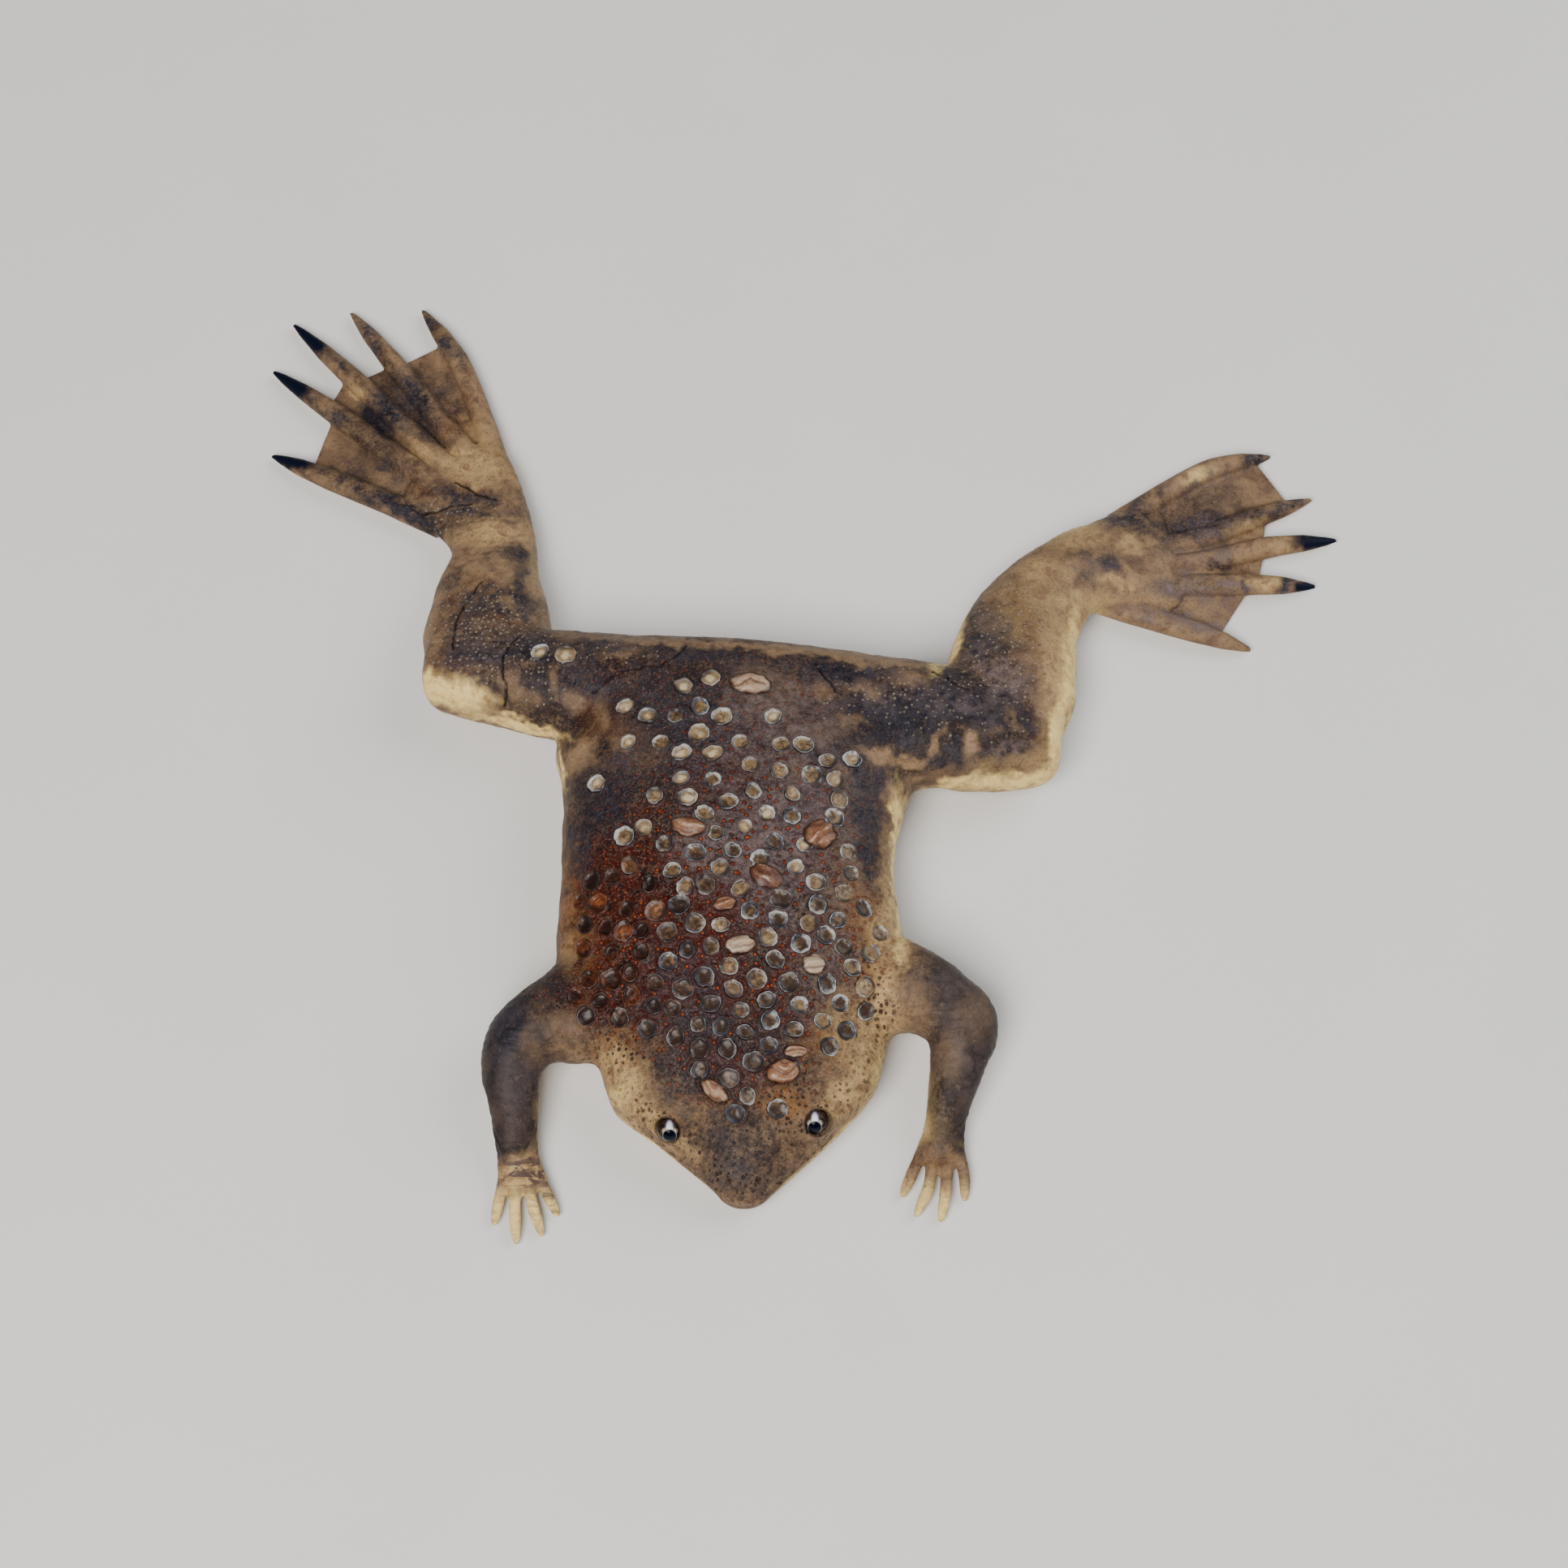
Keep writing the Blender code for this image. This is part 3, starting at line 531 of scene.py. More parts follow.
def read_points(mesh):
    """The points of a mesh and their normals, one row each."""
    points = np.empty(3 * len(mesh.vertices))
    normals = np.empty(3 * len(mesh.vertices))
    mesh.vertices.foreach_get("co", points)
    mesh.vertex_normals.foreach_get("vector", normals)
    return points.reshape(-1, 3), normals.reshape(-1, 3)


def write_points(mesh, points):
    mesh.vertices.foreach_set("co", np.ascontiguousarray(points, float).ravel())
    mesh.update()


def field(points, size, seed):
    """Smooth random values from -1 to 1, with hills about one size apart."""
    values = np.random.default_rng(seed).uniform(-1, 1, LATTICE ** 3).astype(np.float32)
    cell = np.floor(points / size).astype(np.int32)
    share = (points / size - cell).astype(np.float32)
    share = share * share * (3 - 2 * share)
    steps = [[((cell[:, axis] + end) % LATTICE) * LATTICE ** axis for end in (0, 1)]
             for axis in range(3)]
    weights = [(1 - share[:, axis], share[:, axis]) for axis in range(3)]
    total = np.zeros(len(points), np.float32)
    for i, j, k in itertools.product((0, 1), repeat=3):
        corner = values[steps[0][i] + steps[1][j] + steps[2][k]]
        total += weights[0][i] * weights[1][j] * weights[2][k] * corner
    return total


def rise(values, low, high):
    """0 below low, 1 above high, smooth between them."""
    share = np.clip((values - low) / (high - low), 0, 1)
    return share * share * (3 - 2 * share)


def bell(values, width):
    """1 at nought, and fading over a width to both sides."""
    return np.exp(-(values / width) ** 2)


print("one field takes", LATTICE ** 3, "random values")

# %% [markdown]
# ## Where the brood pits are
#
# The female carries her eggs in pits that the skin of her back grows round them.
# They lie close together but never in rows, so their places are read off the
# photograph, in pixels, from the rump down to the neck. A ray from the camera
# then finds the point of the skin under each of them.

# %% Places of the pits
PITS = (
    (842, 845), (771, 870), (798, 881), (832, 882), (862, 870), (890, 883), (952, 883), (876, 835),
    (774, 914), (814, 915), (840, 927), (861, 903), (878, 927), (912, 914), (962, 917), (990, 917),
    (925, 942), (960, 949), (1020, 937), (1050, 935), (1000, 955), (839, 959), (878, 960),
    (928, 974), (976, 978), (1029, 960), (1034, 985), (807, 980), (897, 987), (847, 982),
    (868, 1002), (945, 1002), (976, 1005), (917, 1018), (882, 1026), (793, 1019), (769, 1030),
    (819, 1040), (955, 1037), (903, 1047), (857, 1050), (991, 1041), (1045, 1050), (1028, 1007),
    (887, 1069), (936, 1058), (828, 1072), (980, 1068), (1005, 1087), (1048, 1076), (869, 1089),
    (912, 1095), (1040, 1101), (776, 1066), (755, 1080), (800, 1089), (837, 1114), (808, 1122),
    (738, 1112), (771, 1120), (746, 1142), (924, 1122), (962, 1107), (1007, 1114), (1064, 1119),
    (1032, 1134), (959, 1132), (888, 1139), (856, 1137), (997, 1137), (790, 1146), (823, 1149),
    (1084, 1150), (946, 1155), (1018, 1152), (876, 1166), (847, 1170), (1073, 1174), (1039, 1167),
    (987, 1162), (753, 1174), (791, 1172), (824, 1185), (720, 1168), (898, 1190), (955, 1182),
    (1050, 1192), (868, 1203), (753, 1207), (724, 1207), (807, 1210), (841, 1218), (932, 1206),
    (972, 1210), (1019, 1212), (1066, 1216), (904, 1218), (710, 1228), (739, 1232), (779, 1226),
    (828, 1242), (876, 1236), (944, 1232), (985, 1238), (1035, 1236), (912, 1244), (1067, 1246),
    (949, 1257), (1014, 1258), (860, 1262), (888, 1265), (918, 1271), (978, 1268), (1043, 1270),
    (832, 1277), (797, 1268), (862, 1292), (896, 1292), (947, 1288), (1022, 1289), (929, 1308),
    (862, 1318), (898, 1328), (921, 1350), (958, 1366), (906, 1372), (722, 1140), (716, 1110),
    (730, 1085), (735, 965), (665, 803), (697, 806), (844, 1092), (768, 1147), (776, 1199),
    (806, 1239), (722, 1252), (764, 1254),
)
# Swollen lids: place, half-length, half-width in mm, turn in degrees, and tone from 0
# for dark brown to 1 for cream
LIDS = (
    ((925, 842), 5.6, 3.5, -8, 0.70), ((848, 1018), 4.6, 2.8, -12, 0.45),
    ((1010, 1028), 4.4, 4.2, 30, 0.35), ((945, 1080), 4.6, 3.1, -28, 0.15),
    ((912, 1163), 3.9, 2.6, 8, 0.90), ((965, 1320), 4.4, 3.1, 12, 0.45),
    ((880, 1344), 4.1, 2.2, -42, 0.60), ((893, 1113), 3.0, 1.9, 12, 0.40),
    ((1003, 1188), 3.1, 2.6, 0, 0.95), ((980, 1295), 3.0, 1.7, 4, 0.60),
)
PIT_RADIUS = 2.55
SMALLEST_PIT, LARGEST_PIT = 0.84, 1.1     # as shares of that radius


def skin_tree(mesh):
    """A tree of faces, in which a ray or the nearest point is found fast."""
    points, _ = read_points(mesh)
    return BVHTree.FromPolygons(points.tolist(), [p.vertices[:] for p in mesh.polygons])


def seat(normal):
    """Axes on the skin as columns: along the picture's width, across it, and outwards."""
    normal = Vector(normal)
    width = (RIGHT - normal * RIGHT.dot(normal)).normalized()
    return np.array((width, normal.cross(width), normal)).T


def on_skin(tree, x, y):
    """Point and normal of the skin that a pixel shows."""
    point, normal, _, _ = tree.ray_cast(STAND, sight(x, y))
    return point, normal


tree = skin_tree(skin.data)
draw = random.Random(5)
pit_sites = []
for x, y in PITS:
    point, normal = on_skin(tree, x, y)
    radius = PIT_RADIUS * draw.uniform(SMALLEST_PIT, LARGEST_PIT)
    pit_sites.append((point, normal, radius, draw.uniform(0, math.pi)))
lid_sites = [(*on_skin(tree, *place), long, wide, math.radians(turn), tone)
             for place, long, wide, turn, tone in LIDS]
print(len(pit_sites), "pits,", len(lid_sites), "lids")

# %% [markdown]
# ## Where the skin cracks
#
# Short dark creases run over the rump, the knees and an ankle, their darkness being
# painted shade in the grooves. Each one is kept as a line of pixels, and one function
# gives how far any pixel is from the nearest line.

# %% Lines of the creases
CREASES = (
    ((1003, 817), (1015, 832), (1030, 850)),
    ((845, 795), (833, 808), (812, 820), (790, 822), (768, 826), (748, 838), (730, 855)),
    ((640, 784), (628, 793), (620, 808), (619, 825), (623, 845), (622, 872)),
    ((592, 716), (578, 735), (568, 752), (560, 775), (556, 800)),
    ((508, 628), (520, 633), (536, 631), (556, 624), (580, 619)),
    ((1150, 826), (1168, 836), (1190, 850)),
    ((560, 594), (585, 606), (612, 616)),
)


def crease_gap(seen):
    """Distance in pixels to the nearest crease."""
    gap = np.full(len(seen), np.inf)
    for line in CREASES:
        for a, b in zip(np.array(line, float), np.array(line, float)[1:]):
            share = np.clip((seen - a) @ (b - a) / ((b - a) @ (b - a)), 0, 1)
            gap = np.minimum(gap, np.linalg.norm(seen - a - share[:, None] * (b - a), axis=1))
    return gap


print(len(CREASES), "creases")

# %% [markdown]
# ## Finer mesh where it is needed
#
# The pits, the creases and the face need twice as many points as the rest. Splitting
# only those faces once keeps the whole skin light enough to work with.

# %% Split the faces of the back and the head
BACK_TOP = 17.0           # mm above the floor, over which the back counts as flat
BACK_MIDDLE = -2.0
BACK_HALF = 44.0
BACK_END = 34.0
HEAD_END = -74.0
HEAD_HALF = 40.0
FOOT_TOP = 3.0            # mm, under which nothing is split
CREASE_REACH = 8          # pixels to both sides of a crease, split once
CREASE_CORE = 4           # split twice


def split_faces(mesh, wanted):
    """Each wanted face into four."""
    bm = bmesh.new()
    bm.from_mesh(mesh)
    bm.faces.ensure_lookup_table()
    edges = {edge for index in np.flatnonzero(wanted) for edge in bm.faces[index].edges}
    bmesh.ops.subdivide_edges(bm, edges=list(edges), cuts=1, use_grid_fill=True)
    bm.to_mesh(mesh)
    bm.free()


def face_centres(mesh):
    centres = np.empty(3 * len(mesh.polygons))
    mesh.polygons.foreach_get("center", centres)
    return centres.reshape(-1, 3)


centres = face_centres(skin.data)
x, y, z = centres.T
on_back = (z > BACK_TOP) & (np.abs(x - BACK_MIDDLE) < BACK_HALF) & (y < BACK_END)
on_head = (y < HEAD_END) & (np.abs(x) < HEAD_HALF) & (z > FOOT_TOP)
on_crease = (crease_gap(pixels(centres)) < CREASE_REACH) & (z > FOOT_TOP)
split_faces(skin.data, on_back | on_head | on_crease)
centres = face_centres(skin.data)
in_crease = (crease_gap(pixels(centres)) < CREASE_CORE) & (centres[:, 2] > FOOT_TOP)
split_faces(skin.data, in_crease)
points, normals = read_points(skin.data)
print("skin", len(points), "points after splitting")

# %% [markdown]
# ## Relief 1: folds and lumps
#
# Loose skin hangs in shallow lumps, with fine wrinkles where a joint bends. Three
# sizes of random field give the lumps. Ripples across a limb, faded in only near
# its joint, give the wrinkles.

# %% Lumps and wrinkles
LUMPS = ((7.0, 0.30), (3.0, 0.14), (1.3, 0.07))     # size and height in mm
THIN = (3.0, 7.0)         # the lumps grow from webs this thin to parts this thick
thick = rise(points[:, 2], *THIN)
lumps = sum(height * field(points, size, seed)
            for seed, (size, height) in enumerate(LUMPS, 1)) * (0.25 + 0.75 * thick)
# Joints: x and y, reach, direction along the limb in degrees
JOINTS = (
    ((-55.0, -72.0), 11.0, 78), ((54.5, -69.0), 11.0, 98), ((-54.4, -94.0), 7.0, 90),
    ((50.2, -90.5), 7.0, 95), ((-65.2, 71.0), 12.0, 92), ((88.0, 60.5), 12.0, 25),
    ((-66.0, 33.0), 13.0, 80), ((66.0, 18.0), 14.0, 80), ((-37.0, -60.0), 12.0, 25),
    ((36.0, -55.5), 12.0, 170), ((-40.0, 22.0), 13.0, 160), ((41.0, 13.0), 14.0, 20),
)
WRINKLE = 0.16            # height in mm
RIPPLE = 0.36             # mm for one radian of a wrinkle's wave
wander = 2.6 * field(points, 4.0, 4)
strength = WRINKLE * (0.6 + 0.4 * field(points, 2.5, 5))
wrinkles = np.zeros(len(points))
for (x, y), reach, turn in JOINTS:
    near = bell(np.hypot(points[:, 0] - x, points[:, 1] - y), reach)
    turn = math.radians(turn)
    along = points[:, 0] * math.cos(turn) + points[:, 1] * math.sin(turn)
    wrinkles += strength * near * np.sin(along / RIPPLE + wander)
relief = lumps + wrinkles
print("lumps and wrinkles up to", round(float(np.abs(relief).max()), 2), "mm")

# %% [markdown]
# ## Relief 2: creases
#
# Where a thigh folds against the rump the skin cracks into creases, grooved here and
# later painted dark with shade. The lines waver a little on their way, and each one
# grows faint and deep by turns.

# %% Creases
CREASE_DEPTH = 0.5
CREASE_WIDTH = 1.5        # pixels
CREASE_WAVER = 2.0        # pixels
seen = pixels(points)
facing = normals @ -np.array(AHEAD)
wander = np.stack([field(points, 1.3, seed) for seed in (6, 7)], axis=1)
creases = bell(crease_gap(seen + CREASE_WAVER * wander), CREASE_WIDTH)
creases *= rise(facing, 0.05, 0.35)
creases *= np.clip(1.0 + 0.9 * field(points, 1.9, 16), 0, 1)
relief -= CREASE_DEPTH * creases
print("creases cover", round(float((creases > 0.3).mean()), 4), "of the points")

# %% [markdown]
# ## Relief 3: pits and lids
#
# A pit is a cup with a swollen rim. Its floor is sunk along the skin's own normal,
# so the pits at the edge of the back lean outwards as they do on the animal. A lid
# gets an oval seat of the same kind, a little shallower.

# %% Cups for the pits, and seats for the lids
PIT_DEPTH = 1.1
PIT_RIM = 0.30            # height of the swollen rim in mm
PIT_RIM_WIDTH = 0.42
LID_SEAT = 0.8            # depth in mm
LID_RIM = 0.35


def around(site, normal, reach):
    """Skin points near a site: their numbers, and their places in the skin's own plane."""
    away = points - np.array(site)
    close = np.flatnonzero((np.abs(away) < reach).all(axis=1))
    away = away[close]
    return close, away @ seat(normal)


def swing(turn):
    """A matrix that turns rows of a plane by an angle."""
    return np.array(((math.cos(turn), math.sin(turn)), (-math.sin(turn), math.cos(turn))))


def raise_mask(mask, close, values):
    """Lift a mask where the values are higher."""
    mask[close] = np.maximum(mask[close], values)


pit_mask = np.zeros(len(points))
for site, normal, radius, turn in pit_sites:
    close, local = around(site, normal, 2.2 * radius)
    distance = np.hypot(local[:, 0], local[:, 1])
    cup = 1 - rise(distance, 0.45 * radius, 1.02 * radius)
    rim = bell(distance - 1.08 * radius, PIT_RIM_WIDTH)
    relief[close] += PIT_RIM * rim - PIT_DEPTH * cup
    raise_mask(pit_mask, close, 1 - rise(distance, 0.9 * radius, 1.3 * radius))

for site, normal, long, wide, turn, _ in lid_sites:
    close, local = around(site, normal, 2.0 * long)
    across = local[:, :2] @ swing(turn).T
    distance = np.hypot(across[:, 0] / long, across[:, 1] / wide)
    rim = bell(distance - 1.15, 0.16)
    relief[close] += LID_RIM * rim - LID_SEAT * (1 - rise(distance, 0.6, 1.0))
    raise_mask(pit_mask, close, 1 - rise(distance, 1.0, 1.25))
print("pits cover", round(float(pit_mask.mean()), 3), "of the points")

# %% [markdown]
# ## Relief 4: the face
#
# The head is a flat wedge. Its mouth runs right round the edge, so it is a groove
# that follows the outline at the height of the jaw. Each eye sits on a low mound
# inside a thick lid, and two small nostrils open on top of the snout.

# %% Mouth
JAW_MIDDLE = (0.6, -84.0)
JAW_LEVEL = 6.2           # height of the slit at the snout
JAW_LIFT = 1.8            # how much higher it is at the corners
# Ridges and grooves along the mouth: height, place above the slit and half-width in mm
LIPS = ((0.34, 1.15, 0.75), (-1.0, 0.0, 0.34), (-0.5, -1.6, 1.0))
LOWER_LIP = (1.3, -1.5, 1.1)
SNOUT_WIDTH = 17          # degrees to both sides
JAW_CORNERS = (182, 194), (346, 358)      # degrees over which the mouth fades in and out


def ridge(above, height, middle, half):
    return height * bell(above - middle, half)


jaw = points[:, :2] - np.array(JAW_MIDDLE)
bearing = np.degrees(np.arctan2(jaw[:, 1], jaw[:, 0])) % 360
on_jaw = rise(bearing, *JAW_CORNERS[0]) * (1 - rise(bearing, *JAW_CORNERS[1]))
outward = rise(1 - np.abs(normals[:, 2]), 0.02, 0.25)
above = points[:, 2] - (JAW_LEVEL + JAW_LIFT * np.cos(np.radians(bearing)) ** 2)
snout = bell(bearing - 270, SNOUT_WIDTH)
lips = sum(ridge(above, *row) for row in LIPS) + snout * ridge(above, *LOWER_LIP)
relief += on_jaw * outward * lips
lip_mask = snout * outward * (1 - rise(above, -0.6, 0.1)) * rise(above, -4.0, -3.0)
print("lips cover", round(float((on_jaw * outward).mean()), 4), "of the points")

# %% Eyelids and nostrils
NOSTRILS = ((-2.2, -105.2), (5.0, -105.2))
NOSTRIL_DEPTH = 1.1
NOSTRIL_RIM = 0.3
EYE_MOUND = 0.5
EYE_LID = 0.45            # height of the ring round an eye
EYE_LID_RADIUS = 3.7
eye_socket_shade = np.zeros(len(points))
eye_seats = [(place, tree.find_nearest(Vector(place))[1]) for place in EYES.values()]
for place, normal in eye_seats:
    close, local = around(place, normal, 14.0)
    distance = np.hypot(local[:, 0], local[:, 1])
    on_top = rise(local[:, 2], -5, -3)
    mound = EYE_MOUND * (1 - rise(distance, 2.5, 8.5))
    lid = EYE_LID * bell(distance - EYE_LID_RADIUS, 0.55)
    relief[close] += on_top * (mound + lid)
    # A thin ring of skin right round each eyeball is kept for painted shade
    raise_mask(eye_socket_shade, close, on_top * (1 - rise(distance, 3.4, 4.0)))
for x, y in NOSTRILS:
    distance = np.hypot(points[:, 0] - x, points[:, 1] - y)
    on_top = rise(points[:, 2], 8, 9)
    relief += on_top * (NOSTRIL_RIM * bell(distance - 1.0, 0.4)
                        - NOSTRIL_DEPTH * bell(distance, 0.55))
print("relief from", round(float(relief.min()), 2), "to", round(float(relief.max()), 2), "mm")

# %% Press the relief into the skin, and sink the eyes' sockets
SOCKET_DEPTH = 0.8
SOCKET_PLAY = 0.1         # how much narrower than the ball a socket is, so that no gap shows
points = points + normals * relief[:, None]
for place, normal in eye_seats:
    close, local = around(place, normal, 8.0)
    across = np.hypot(local[:, 0], local[:, 1])
    socket = (across < EYE_RADIUS - SOCKET_PLAY) & (local[:, 2] > -SOCKET_DEPTH)
    points[close[socket]] -= np.array(normal) * (local[socket, 2:] + SOCKET_DEPTH)
points[:, 2] = np.maximum(points[:, 2], 0.0)
write_points(skin.data, points)
points, normals = read_points(skin.data)
print("skin is", [round(float(c), 1) for c in points.max(axis=0) - points.min(axis=0)], "mm")

# %% [markdown]
# ## Paint 1: where each colour goes
#
# The toad is coloured like dead leaves: rust and slate clouds on brown, cream on the
# sides and fingers, ink on some toe tips. Each cloud is a soft oval that is read off
# the photograph, pushed about by a random field so that its edge frays. The masks are
# kept on the skin as attributes, so that the paint itself can stay in the shader.

